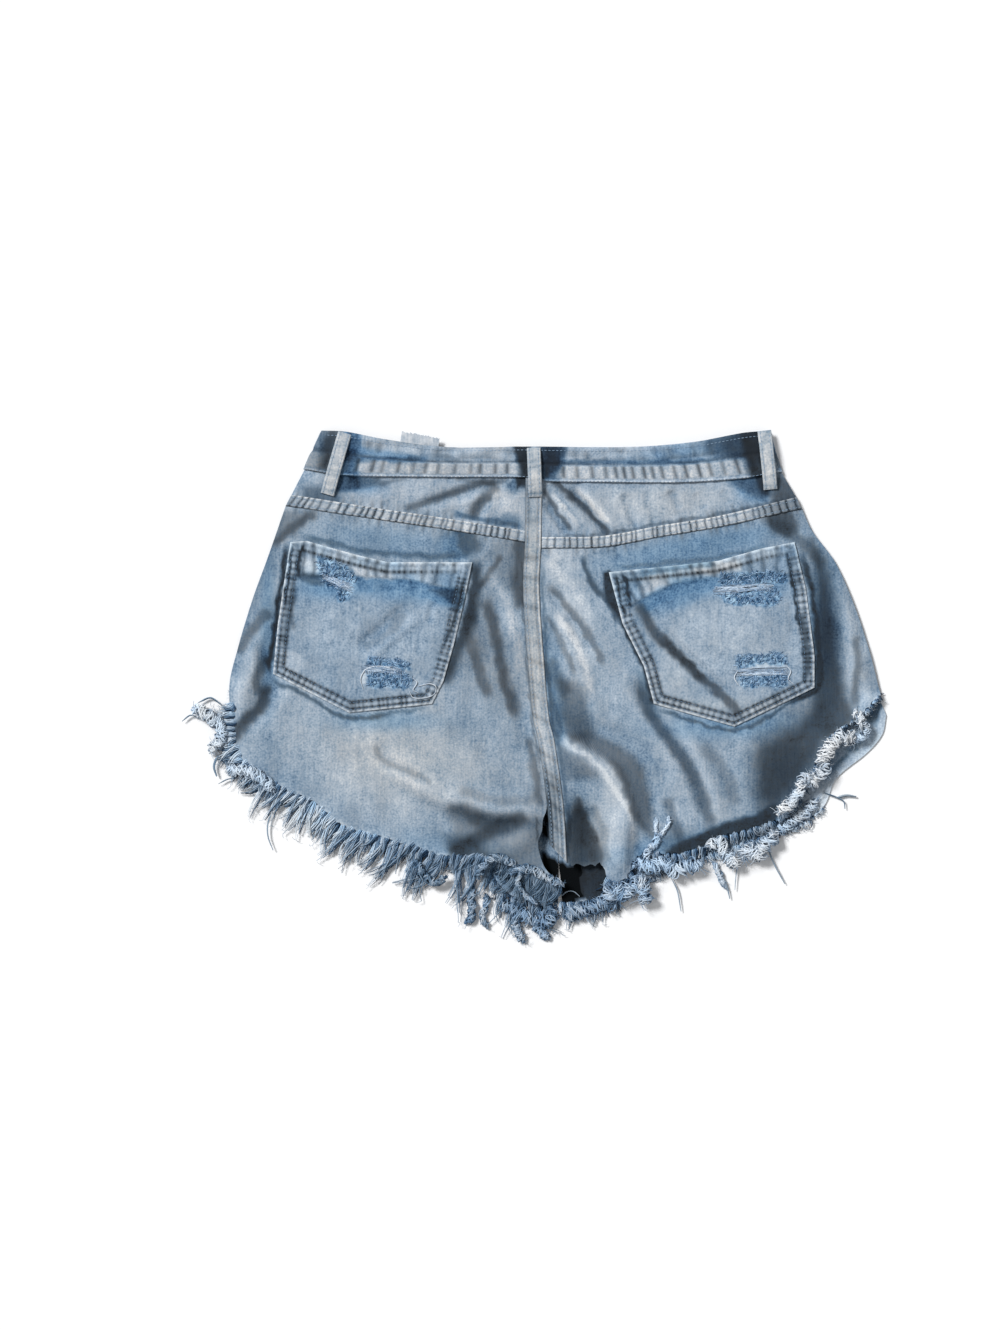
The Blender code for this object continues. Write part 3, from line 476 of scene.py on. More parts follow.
def patch_share(x, y, soft, outline):
    """1 inside an outline and 0 outside, across a soft edge."""
    closed = smooth_line((*outline, outline[0]), CURVE_POINTS * len(outline))
    near = near_to(x, y, closed, soft)
    found = np.zeros(x.shape)
    if near.any():
        u, v = x[near], y[near]
        away, _, _ = beside(u, v, closed)
        inside = np.zeros(u.shape, bool)
        for (x0, y0), (x1, y1) in zip(closed, closed[1:]):
            if y0 != y1:
                inside ^= ((y0 > v) != (y1 > v)) & (u < x0 + (v - y0) * (x1 - x0) / (y1 - y0))
        found[near] = smooth(0.5 + np.where(inside, away, -away) / (2 * soft))
    return found


def shaded(x, y, wash, strokes, patches):
    """The wash with strokes of painted shade along its folds and patches of it between them, uneven at their edges;
    they also add indigo and fade.
    """
    u = x + 1.4 * rumple(x, y, 5, 7, 43) + 0.6 * rumple(x, y, 1.7, 2.3, 44)
    v = y + 1.4 * rumple(x, y, 7, 5, 45) + 0.6 * rumple(x, y, 2.3, 1.7, 46)
    rows = [(row[:3], line_share(u, v, *row[3:])) for row in strokes]
    rows += [(row[:3], patch_share(u, v, *row[3:])) for row in patches]
    clear = 1 - wash[..., 3]
    for (painted_shade, indigo, fade), share in rows:
        clear = clear * (1 - painted_shade * share)
        wash[..., 0] += fade * share
        wash[..., 1] += indigo * share
    wash[..., 3] = 1 - np.where(clear > 0, np.maximum(clear, LEAST_CLEAR), clear)
    return wash


def under_lift(x, y):
    """How far the front is lifted by what lies under it at the waist."""
    lift = np.zeros(np.shape(x))
    for centre_x, centre_y, half_width, half_length, height in UNDER_PIECES:
        beyond_x = np.maximum(np.abs(x - centre_x) - half_width, 0)
        beyond_y = np.maximum(np.abs(y - centre_y) - half_length, 0)
        away = np.hypot(beyond_x, beyond_y) - UNDER_MARGIN
        lift = np.maximum(lift, height * (1 - smooth(away / UNDER_FADE)))
    return lift


def sewn_to(piece):
    """The piece rides with the garment, fastened to its root."""
    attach(piece, "root")


def stands_for(piece, node):
    """The piece is part of the garment and takes a node's place."""
    sewn_to(piece)
    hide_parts(node)


# The blue and the rubbed places of the hems: x, y, reach x, reach y, turn, fade, indigo, warmth
FRONT_SPOTS = (
    (262, -40, 26, 24, 45, 0.34, 0.4, 0.0),
    (225, -92, 26, 16, 45, 0.32, 0.1, 0.0),
    (-30, -150, 40, 16, -20, -0.1, 0.4, 0.0),
)
# Strokes of painted shade along folds and edges, with the cloth's own unfaded indigo; where the fade rises they are
# pale lines, partly wear and partly painted light: painted shade, indigo, fade, reach on the left and right of the
# line, then the line
FRONT_SHADES = (
    (0.5, 0.8, 0.0, 3, 2, ((232, -74), (246, -58), (258, -47), (268, -38))),
    (0.5, 0.5, 0.0, 5, 5, ((120, -140), (150, -128), (180, -118), (206, -104))),
)
# Patches of painted shade, with indigo and fade as in the strokes; past full, painted shade turns to the near black
# of painted shadow: painted shade, indigo, fade, softness of the edge, then the outline
FRONT_PATCHES = (
    # The first two are painted shadow, near black, in the gap at the crotch and the slot beside the left leg's
    # curled inner edge
    (1.15, 0.0, -0.4, 1.0, ((5, -131), (13, -135), (27, -142), (39, -140), (39, -166), (30, -176), (14, -170),
                            (6, -150))),
    (1.1, 0.0, -0.2, 0.8, ((7, -100), (12, -100), (12, -119), (8, -121))),
    (0.93, 0.0, -0.2, 1.0, ((38, -134), (60, -134), (58, -170), (38.5, -168))),
    (0.6, 0.8, 0.0, 1.5, ((269, -7), (277, -10), (277, -20), (272, -30), (267, -27), (266, -17))),
)
front_denim = denim("front_denim", (0.6, 0.82, 1.0, 1))
waist_points = smooth_line(WAIST_SEAM, 41)
left_top = (*[p for p in waist_points if p[0] < -4], (-SEAM_HALF_GAP, 166.5))
right_top = ((SEAM_HALF_GAP, 166.5), *[p for p in waist_points if p[0] > 4])
left_top, right_top = moved(left_top, 0, -SEAM_HALF_GAP), moved(right_top, 0, -SEAM_HALF_GAP)
fly_line = part_of(CENTRE_LINE, FRONT_SEAM_TOP, FRONT_SEAM_FOOT)
front_edges = {
    "front_left": (
        left_top,
        FRONT_HEM_LEFT,
        (*moved(part_of(LEFT_SIDE, left_top[0][1], -2), FRONT_INSET, 0)[:-1], FRONT_HEM_LEFT[0]),
        (*moved(fly_line, -SEAM_HALF_GAP, 0), FRONT_HEM_LEFT[-1]),
    ),
    "front_right": (
        right_top,
        FRONT_HEM_RIGHT,
        (*moved(fly_line, SEAM_HALF_GAP, 0), FRONT_HEM_RIGHT[0]),
        (*moved(part_of(RIGHT_SIDE, right_top[-1][1], -5), -FRONT_INSET, 0), FRONT_HEM_RIGHT[-1]),
    ),
}
front_pieces = {}
for name, edges in front_edges.items():
    x, y = patch(*edges, shares_of(edges[1], CLOTH_GRID), np.linspace(0, 1, 90))
    wash = spots_at(x, y, FRONT_SPOTS) + even_wash(x, *FRONT_WASH)
    wash = shaded(x, y, wash, FRONT_SHADES, FRONT_PATCHES)
    hem_away, _, _ = beside(x, y, smooth_line(edges[1], 40))
    wash[..., 0] += 0.25 * np.exp(-hem_away / 3)
    top = under_lift(x, y) + FRONT_WALL + 0.12 * rumple(x, y, 9, 14, 3)
    front_pieces[name] = cloth_piece(name + "_cloth", [shell(x, y, top, FRONT_WALL - 0.15, wash)], front_denim)
    stands_for(front_pieces[name], name)

# ---------------------------------------------------------------------------------------------
# The fly facing is a doubled strip behind the front opening. The brass shank button and the two
# front belt loops are under the front, where the garment's weight presses them into the surface.
FLY_TOP = ((-16, 128), (18, 128))
FLY_BOTTOM = ((-10, 64), (14, 60))
FLY_HEIGHT = 2.6
FLY_WALL = 0.9
FLY_WASH = (0.45, 0.2, 0.0)
LOOP_WIDTH = 11.0
LOOP_WALL = 0.75
LOOP_UNDER_GAP = 0.35
LOOP_WASH = (0.8, 0.0, 0.75)
# The front loops: name, centre x, lowest y, highest y
FRONT_LOOPS = (("loop_front_left", -92.0, 154.0, 195.0), ("loop_front_right", 98.0, 152.0, 193.0))
BRASS_DARK = (0.20, 0.13, 0.07, 1)
BRASS_BRIGHT = (0.62, 0.47, 0.26, 1)
x, y = patch(FLY_TOP, FLY_BOTTOM, (FLY_TOP[0], FLY_BOTTOM[0]), (FLY_TOP[1], FLY_BOTTOM[1]),
             np.linspace(0, 1, 30), np.linspace(0, 1, 70))
fly_top = under_lift(x, y) + FLY_HEIGHT + 0.1 * rumple(x, y, 6, 9, 4)
fly_cloth = cloth_piece("fly_cloth", [shell(x, y, fly_top, FLY_WALL, even_wash(x, *FLY_WASH))], front_denim)
stands_for(fly_cloth, "fly")


def loop_cloth(name, top, bottom, underside, finish, seed):
    """A belt loop: a strip with both edges turned under and two stitched grooves, on its underside's height."""
    across = np.array([0.0, 0.04, 0.1, 0.18, 0.26, 0.36, 0.5, 0.64, 0.74, 0.82, 0.9, 0.96, 1.0])
    down = np.concatenate([[0.0, 0.015], np.linspace(0.04, 0.96, 36), [0.985, 1.0]])
    direction = np.array(bottom, float) - np.array(top, float)
    side = np.array((-direction[1], direction[0])) / np.hypot(*direction) * LOOP_WIDTH
    grid = np.array(top) + down[:, None, None] * direction + (across[None, :, None] - 0.5) * side
    x, y = grid[..., 0], grid[..., 1]
    share = down[:, None] + 0 * x
    place = across[None, :] + 0 * x
    edges = inside_ends(place, 0.07)
    grooves = bell(place, 0.2, 0.05) + bell(place, 0.8, 0.05)
    puckers = nips(share * np.hypot(*direction) + 2 * place, 5.0, seed, 0.9)
    rise = 0.55 + 0.65 * edges - 0.25 * grooves - 0.3 * puckers * edges + 0.12 * rumple(x, y, 3, 4, seed)
    wash = even_wash(x, *LOOP_WASH)
    wash[..., 0] += 0.1 * edges - 0.12 - 0.12 * grooves - 0.14 * puckers + 0.12 * rumple(x, y, 4, 9, seed + 1)
    wash[..., 0] -= 0.22 * bell(share, 0.93, 0.025) + 0.12 * bell(share, 0, 0.04)
    upper = underside(x, y, share) + rise
    if not name.startswith("loop_front"):
        stitch_rows.extend((name, np.stack([x, y, upper], axis=-1)[2:-2, column]) for column in (3, 9))
    return cloth_piece(name + "_cloth", [shell(x, y, upper, LOOP_WALL, wash)], finish)


MOST_NIPS = 240


def nips(run, pitch, seed, width=0.9, least=0.25):
    """The nips of a puckered seam along its run: 0 between them, up to 1 in each, unevenly spaced."""
    chance = np.random.default_rng(seed)
    places = np.cumsum(chance.uniform(0.6, 1.4, MOST_NIPS) * pitch)
    depths = chance.uniform(least, 1.0, MOST_NIPS)
    after = np.clip(np.searchsorted(places, run), 1, MOST_NIPS - 1)
    found = np.zeros(run.shape)
    for index in (after - 1, after):
        found = np.maximum(found, depths[index] * bell(run, places[index], width))
    return found


def on_surface(x, y, share):
    """The underside of a loop that lies on the surface."""
    return 0 * x + LOOP_UNDER_GAP


loop_denim = denim("loop_denim", (0.6, 0.8, 1.0, 1), coarse=0.8)
for name, centre_x, low, high in FRONT_LOOPS:
    loop = loop_cloth(name, (centre_x, high), (centre_x, low), on_surface, loop_denim, 81)
    stands_for(loop, name)

brass = bpy.data.materials.new("aged_brass")
brass.use_nodes = True
brass_tree = brass.node_tree
brass_shader = brass_tree.nodes["Principled BSDF"]
brass_shader.inputs["Metallic"].default_value = 1.0
tarnish = noise(brass_tree, add_node(brass_tree, "ShaderNodeTexCoord", {}).outputs["Object"], 900.0, 5.0)
brass_tree.links.new(mixed(brass_tree, tarnish, BRASS_DARK, BRASS_BRIGHT), brass_shader.inputs["Base Color"])
brass_rough = add_node(brass_tree, "ShaderNodeMapRange", {"Value": tarnish, "To Min": 0.55, "To Max": 0.25})
brass_tree.links.new(brass_rough.outputs[0], brass_shader.inputs["Roughness"])
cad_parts["button"].material_slots[0].material = brass

# ---------------------------------------------------------------------------------------------
# The back legs are the two large seat panels. The cloth is one form for all that is sewn to it:
# its broad swells and folds first, then sharper creases, puckers at the seams and a fine rumple.
SIDE_HEIGHT = 1.7
BACK_HEIGHT = 4.8
LOWEST_HEIGHT = 1.9
FLY_CLEARANCE = 3.2
SIDE_ROUNDING = 18.0
YOKE_SEAM_LEFT = ((-198, 145), (-124, 134), (-76, 127), (-6.8, 116))
YOKE_SEAM_RIGHT = ((6.5, 111), (55, 112), (100, 120), (148, 128), (214, 142.5))
INNER_EDGE_LEFT = ((10, -98), (7.3, -105), (6.6, -114), (3.5, -123), (5.5, -135), (10, -145), (23, -158))
BACK_HEM_LEFT = ((-240, -47), (-227, -64), (-210, -75), (-178, -90), (-150, -111), (-103, -124), (-75, -133),
                 (-28, -136), (-9, -143), (23, -158))
BACK_HEM_RIGHT = ((26.5, -140), (42, -143), (54, -141), (60, -153), (73, -153), (80, -138), (91, -131),
                  (117, -132), (158, -116), (192, -106), (208, -88), (219, -70), (228, -51), (240, -35),
                  (258, -24), (277, -5))
YOKE_BAND = 9.0
SEAM_STRIP = 13.0
SEAM_STRIP_TOP = 111
SEAM_STRIP_FOOT = -139
LEG_LIFT = 1.4
LEG_WALL = 1.1
LEG_GRID = 1.75
LEAST_OVER_FRONT = 2.6
SEAM_LIFT = 1.6
SEAM_WALL = 0.9
# Folds: height, reach on the left and right of the line as it runs, then the line
FOLDS = (
    (4.0, 14, 16, ((-200, 100), (-216, 50), (-228, 14), (-242, -22))),
    (-2.6, 12, 9, ((-222, 44), (-213, 22), (-206, 2), (-214, -14), (-236, -34))),
    (-2.2, 14, 11, ((-70, 82), (-47, 48), (-24, 16))),
    (-2.2, 10, 10, ((-38, 42), (-14, -8), (-2, -66))),
    (-1.6, 9, 9, ((-124, -40), (-118, -60), (-98, -67), (-80, -78))),
    (6.0, 22, 12, ((-122, -56), (-77, -86), (-40, -98), (8, -100), (24, -100))),
    (-4.0, 10, 13, ((-72, -95), (-42, -106), (-8, -112))),
    (3.0, 16, 16, ((4, -112), (-24, -127), (-60, -140))),
    (-1.6, 14, 14, ((-95, 68), (-122, 46), (-148, 26))),
    (-2.0, 9, 9, ((-34, 156), (-43, 144), (-52, 130))),
    (-2.0, 9, 9, ((-24, 163), (-46, 157), (-75, 149), (-98, 144))),
    (-2.0, 9, 9, ((-150, 166), (-132, 161), (-112, 158))),
    (-1.6, 10, 10, ((-66, 128), (-60, 112), (-58, 98))),
    (-2.6, 8, 8, ((28, 158), (45, 139), (62, 120))),
    (-2.0, 7, 7, ((9, 150), (18, 136), (30, 120))),
    (-1.4, 8, 8, ((70, 156), (78, 140), (82, 124))),
    (-1.4, 8, 8, ((106, 158), (113, 146), (118, 134))),
    (-2.6, 15, 12, ((10, 84), (28, 57), (58, 24))),
    (-3.6, 15, 12, ((14, -26), (48, -36), (73, -44), (91, -60), (98, -80), (98, -98), (90, -122))),
    (7.0, 13, 19, ((10, -24), (40, -54), (58, -66), (70, -84), (74, -104), (70, -132), (66, -170))),
    (-4.5, 16, 16, ((34, -92), (42, -116), (42, -150))),
    (-3.4, 11, 9, ((78, 16), (91, -17), (109, -40), (123, -62), (132, -86), (140, -122))),
    (2.6, 14, 12, ((112, -22), (138, -70), (152, -112))),
    (-2.2, 26, 24, ((214, -6), (196, -44), (182, -96))),
    (5.0, 20, 12, ((186, -116), (206, -90), (226, -56), (240, -37), (258, -26), (288, 0))),
    (-2.6, 16, 16, ((232, 118), (238, 60), (240, 6), (234, -40))),
    (3.8, 14, 15, ((240, 104), (252, 58), (259, 22), (262, -8))),
    (-2.6, 10, 9, ((86, 70), (103, 41), (126, 18), (164, -18))),
)
# Swells: height, centre x, centre y, reach in x, reach in y
SWELLS = ((1.6, -125, 20, 95, 130), (1.6, 140, 20, 95, 120), (6.5, 26, -130, 64, 64))
# Creases of the legs, as the folds
LEG_CREASES = (
    (-1.4, 12, 10, ((82, 74), (91, 60), (103, 41), (126, 18), (160, -16))),
    (-1.1, 8, 7, ((-27, 114), (-36, 101), (-46, 90))),
    (-1.2, 11, 8, ((-36, 78), (-23, 38), (-15, 6), (-7, -34))),
    (1.0, 8, 8, ((-28, 72), (-15, 38), (-8, 8), (0, -22))),
    (-1.1, 9, 7, ((-48, 76), (-41, 38), (-37, 12))),
    (0.8, 7, 8, ((-40, 78), (-33, 42), (-30, 16))),
    (-1.1, 9, 7, ((-18, 108), (-16, 74))),
    (-1.3, 9, 8, ((-224, 32), (-216, 16), (-213, -2), (-225, -18), (-242, -34))),
    (1.3, 11, 11, ((-234, 50), (-227, 24), (-227, 4), (-240, -14))),
    (-0.8, 7, 7, ((-124, -38), (-119, -58), (-99, -68), (-78, -80))),
    (0.7, 8, 8, ((-114, -38), (-108, -56), (-84, -68))),
    (-1.6, 8, 11, ((-70, -92), (-52, -100), (-36, -105), (-12, -106))),
    (-1.8, 11, 11, ((-2, -103), (-33, -117), (-54, -134))),
    (1.2, 11, 11, ((6, -104), (-8, -122), (-20, -140))),
    (-1.3, 9, 7, ((10, 80), (24, 62), (36, 46), (49, 26))),
    (1.0, 8, 9, ((20, 86), (34, 64), (48, 46), (60, 22))),
    (-1.2, 8, 8, ((9, 58), (18, 30), (27, 0), (38, -26))),
    (1.2, 8, 8, ((18, 68), (29, 36), (42, 0), (52, -28))),
    (-0.8, 8, 8, ((20, 106), (35, 70))),
    (-1.3, 8, 7, ((80, 10), (91, -17), (108, -39), (122, -59), (131, -81), (140, -116))),
    (1.2, 8, 11, ((102, -4), (118, -36), (140, -76), (150, -106))),
    (-1.3, 8, 8, ((106, -90), (112, -108), (117, -128))),
    (1.1, 7, 8, ((94, -52), (102, -84), (98, -112))),
    (-1.1, 7, 7, ((263, 12), (258, -16))),
    (1.1, 5, 5, ((250, 20), (256, -14))),
    (-0.7, 5, 5, ((45, 112), (48, 96))),
    (-0.7, 5, 5, ((85, 118), (94, 103))),
    (-0.7, 5, 5, ((63, 116), (70, 100))),
    (-0.7, 7, 5, ((33, 112), (38, 88))),
)
# Worn, blue and grey places of the legs, some of them painted light and shade as marked: x, y, reach x, reach y,
# turn, fade, indigo, warmth
LEG_SPOTS = (
    (-107, -58, 74, 40, -12, 0.16, -0.1, 0.55),
    # painted shade beside the left pocket, over its unfaded blue
    (-212, 50, 8, 70, 0, -0.12, 0.75, 0.0),
    # unfaded blue under the left pocket, darkened a little as painted shade
    (-118, -27, 52, 9, 0, -0.06, 0.7, 0.0),
    (-62, 114, 14, 15, 0, -0.12, 0.7, 0.0),
    (-120, 118, 66, 12, -8, -0.06, 0.5, 0.0),
    (-60, -126, 50, 12, -8, -0.1, 0.4, 0.0),
    (34, 50, 22, 70, 15, 0.1, 0.0, 0.1),
    (130, 112, 90, 14, 10, -0.08, 0.75, 0.0),
    # painted shade beside the right pocket, over its unfaded blue
    (229, 45, 10, 70, 0, -0.2, 0.9, 0.0),
    # unfaded blue under the right pocket, darkened a little as painted shade
    (158, -31, 76, 12, 2, -0.06, 0.75, 0.0),
    # painted shade on the lower right slope
    (203, -74, 34, 38, -30, -0.3, 0.1, 0.2),
    # painted shade in the hollow of the right hip
    (240, 55, 9, 74, 0, -0.22, 0.2, 0.15),
    # painted highlight on the ridge of the right hip
    (262, 44, 12, 66, 0, 0.1, 0.1, 0.0),
    # painted highlight on the crotch fold
    (58, -104, 14, 48, -10, 0.22, 0.0, 0.25),
    # painted shade in the crotch hollow
    (36, -110, 15, 34, -6, -0.22, 0.0, 0.55),
    # painted shadow under the right hem, over blue
    (120, -126, 70, 11, 8, -0.14, 0.6, 0.0),
    # painted shade beside the centre-back strip, over blue
    (18, 0, 8, 60, 8, -0.08, 0.5, 0.0),
    (34, -22, 20, 14, -30, -0.14, 0.2, 0.1),
)


def fold_rise(x, y, height, left_reach, right_reach, line):
    """What one fold adds to the cloth's height: full on its line, nothing at its reach or past its ends."""
    away, side, run = beside(x, y, line)
    reach = np.where(side > 0, left_reach, right_reach)
    ends = inside_ends(run / lengths_of(line)[-1], 0.22)
    return height * ends * np.clip(1 - (away / reach) ** 2, 0, None) ** 2


def folds_at(x, y, rows):
    """The sum of a table of folds, each worked out only near its line."""
    total = np.zeros(x.shape)
    for height, left_reach, right_reach, line in rows:
        near = near_to(x, y, line, max(left_reach, right_reach))
        if near.any():
            drawn = smooth_line(line, CURVE_POINTS * len(line))
            total[near] += fold_rise(x[near], y[near], height, left_reach, right_reach, drawn)
    return total


def back_form(x, y):
    """The underside of the back layer, without its small relief."""
    height = np.full(x.shape, BACK_HEIGHT)
    for rise, centre_x, centre_y, reach_x, reach_y in SWELLS:
        height += rise * (1 - smooth(np.hypot((x - centre_x) / reach_x, (y - centre_y) / reach_y)))
    height += folds_at(x, y, FOLDS)
    over_fly = smooth((34 - np.abs(x)) / 14) * smooth((y - 40) / 14)
    height = np.maximum(height, LOWEST_HEIGHT + (FLY_CLEARANCE - LOWEST_HEIGHT) * over_fly)
    from_right = np.where(y > -5, x_at(RIGHT_SIDE, y) - x, SIDE_ROUNDING)
    from_side = np.minimum(x - x_at(LEFT_SIDE, y), from_right)
    rounding = np.sqrt(smooth(from_side / SIDE_ROUNDING))
    return SIDE_HEIGHT + (height - SIDE_HEIGHT) * rounding + under_lift(x, y)


yoke_line = smooth_line(YOKE_SEAM_LEFT, 12) + smooth_line(YOKE_SEAM_RIGHT, 14)
centre_line = smooth_line(CENTRE_LINE, 30)


def yoke_nips(x, y, pitch, width):
    """The nips that run out from the yoke seams, how far each place is from the seam, and on which side."""
    away, side, run = beside(x, y, yoke_line)
    return nips(run + rumple(x, y, 9, 9, 11) * 1.6, pitch, 21, width), away, side


def leg_top(x, y):
    """The legs' upper face, which never sinks into the front below."""
    return np.maximum(back_form(x, y) + LEG_LIFT + leg_relief(x, y), under_lift(x, y) + LEAST_OVER_FRONT)


def leg_relief(x, y):
    """The small relief of the legs: creases, and puckers that run out from the seams."""
    relief = folds_at(x, y, LEG_CREASES)
    puckers, away, _ = yoke_nips(x, y, 8.0, 1.5)
    relief -= 0.9 * puckers * smooth(1 - away / 15)
    away, _, run = beside(x, y, centre_line)
    relief -= 0.35 * nips(run, 11.0, 22, 2.2) * smooth(1 - (away - 6) / 9)
    relief += 0.3 * rumple(x, y, 13, 19, 5) + 0.16 * rumple(x, y, 5, 8, 6) + 0.07 * rumple(x, y, 2.2, 3.5, 7)
    return relief


def wash_of(x, y, heights, spots, base):
    """A panel's wash: its spots; ridges paler and hollows darker, partly wear and partly painted light and shade;
    painted shade in the nips by the yoke seam, and a light uneven painted shade over all.
    """
    wash = spots_at(x, y, spots) + even_wash(x, *base)
    fine = softened(heights, 10)
    # Paler on ridges and darker in hollows: partly wear, partly painted light and shade
    wash[..., 0] += 0.16 * np.clip(heights - fine, -0.7, 0.4) + 0.03 * np.clip(fine - softened(fine, 60), -1.6, 1.0)
    wash[..., 0] += 0.05 * rumple(x, y, 26, 34, 41)
    puckers, away, side = yoke_nips(x, y, 7.0, 1.4)
    beyond = np.where(side > 0, away - YOKE_BAND, away)
    # Painted shade in the nips beside the yoke seam, and a light uneven painted shade over the whole panel
    wash[..., 3] += 0.5 * puckers * smooth(1 - beyond / 9)
    wash[..., 3] += 0.1 * rumple(x, y, 11, 17, 47) + 0.06
    return wash


# Strokes and patches of shade on the legs, as on the front
LEG_SHADES = (
    (0.85, 0.3, -0.1, 11, 4, ((-48, 106), (-48, 84), (-52, 62), (-59, 40), (-66, 20), (-75, -2))),
    (0.62, 0.0, 0.0, 8, 5, ((-47, 70), (-52, 46), (-49, 26), (-41, 4), (-34, -12))),
    (0.72, 0.0, 0.0, 9, 6, ((-43, 74), (-34, 54), (-30, 34), (-26, 13), (-20, -8), (-12, -28))),
    (0.72, 0.0, 0.0, 9, 9, ((-8, 124), (-11, 104), (-12, 84), (-8, 60))),
    (0.6, 0.0, 0.0, 3, 4, ((-24, 106), (-32, 95), (-45, 78))),
    (0.0, -0.2, 0.1, 6, 6, ((-36, 92), (-26, 78), (-18, 60), (-14, 40), (-10, 10))),
    (0.6, 0.0, 0.0, 4, 7, ((-4, -36), (0, -58), (4, -78), (7, -98))),
    (0.5, 0.0, 0.0, 1.8, 1.8, ((-8, 112), (-8.5, 79), (-5, 18), (-1, -25), (8, -78))),
    (0.6, 0.0, 0.0, 6, 6, ((-172, 141), (-186, 132), (-198, 123), (-209, 112))),
    (0.3, 0.0, 0.0, 4, 4, ((-126, -42), (-124, -52), (-116, -60), (-98, -67), (-78, -78))),
    (0.68, 0.1, 0.0, 10, 10, ((-2, -100), (-20, -109), (-38, -117), (-56, -127), (-68, -137))),
    (0.3, 0.0, 0.0, 8, 4, ((-62, -82), (-35, -90), (-10, -91), (6, -90))),
    (0.6, 0.1, 0.0, 6, 6, ((-204, 30), (-217, 16), (-221, 4), (-218, -8))),
    (0.82, 0.1, 0.0, 8, 8, ((-212, 6), (-217, -14), (-230, -27), (-246, -46))),
    (0.62, 0.0, 0.0, 7, 9, ((-208, 62), (-222, 48), (-238, 26))),
    (0.96, 0.5, -0.2, 3.2, 3.2, ((-196, 118), (-201, 85), (-206, 50), (-211, 20), (-210, 6))),
    (0.4, 0.2, 0.0, 3, 3, ((-214, 9), (-180, -8), (-148, -24), (-110, -21))),
    (0.45, 0.5, 0.0, 3, 2, ((7.5, 108), (6.5, 79), (10.5, 18), (14.5, -25), (18.5, -42), (25.5, -92),
                            (28, -130))),
    (0.55, 0.0, 0.0, 6, 3, ((9, 84), (24, 67), (36, 52), (46, 36), (56, 14))),
    (0.45, 0.0, 0.0, 3, 5, ((10, 60), (18, 46), (26, 28), (33, 8))),
    (0.5, 0.2, 0.0, 8, 8, ((13, 24), (19, 8), (30, -8))),
    (0.0, -0.1, 0.2, 5, 5, ((16, 62), (26, 48), (35, 34), (42, 14), (48, -10))),
    (0.0, 0.0, 0.12, 6, 5, ((10, 104), (20, 92), (34, 76), (50, 54))),
    (0.72, 0.6, -0.05, 5, 3, ((38, 108), (42, 92), (50, 78), (60, 66), (68, 50))),
    (0.4, 0.0, 0.0, 6, 4, ((58, -56), (69, -70), (74, -84), (79, -98), (90, -118))),
    (0.0, 0.0, 0.2, 3, 4, ((18, -38), (30, -46), (42, -54), (52, -63), (60, -74), (69, -86), (76, -98),
                           (79, -112), (79, -136))),
    (0.5, 0.9, -0.1, 2.5, 2.5, ((29, -90), (27.5, -108), (28, -138))),
    (0.35, 0.0, 0.0, 6, 5, ((45, -92), (54, -112), (58, -142))),
    (0.6, 0.0, 0.0, 8, 8, ((83, 12), (89, -12), (96, -25), (106, -39), (117, -54), (126, -68), (133, -83),
                           (138, -98), (143, -120))),
    (0.33, 0.0, 0.0, 8, 8, ((132, -44), (146, -58), (155, -72), (163, -96))),
    (0.45, 0.0, 0.0, 7, 7, ((106, -86), (112, -106), (120, -128))),
    (0.6, 0.2, 0.0, 9, 9, ((186, 137), (200, 127), (214, 116), (226, 106), (233, 92))),
    (0.9, 0.7, -0.1, 4, 4, ((212, 114), (221, 82), (227, 40), (227, 2), (214, -7), (196, -13))),
    (0.55, 0.1, 0.0, 5, 5, ((256, 44), (259, 20), (256, -4), (258, -18))),
    (0.6, 0.8, -0.05, 2.5, 2.5, ((94, -15), (160, -34), (206, -12), (228, -1))),
    (0.5, 0.7, 0.0, 2.5, 2.5, ((-212, 9), (-180, -8), (-147, -24), (-110, -20), (-80, -16))),
    (0.5, 0.7, -0.05, 4, 4, ((-190, 121), (-160, 115), (-138, 109), (-90, 105), (-50, 106))),
    (0.4, 0.8, 0.0, 3, 3, ((60, 94), (100, 99), (148, 104), (190, 114))),
)
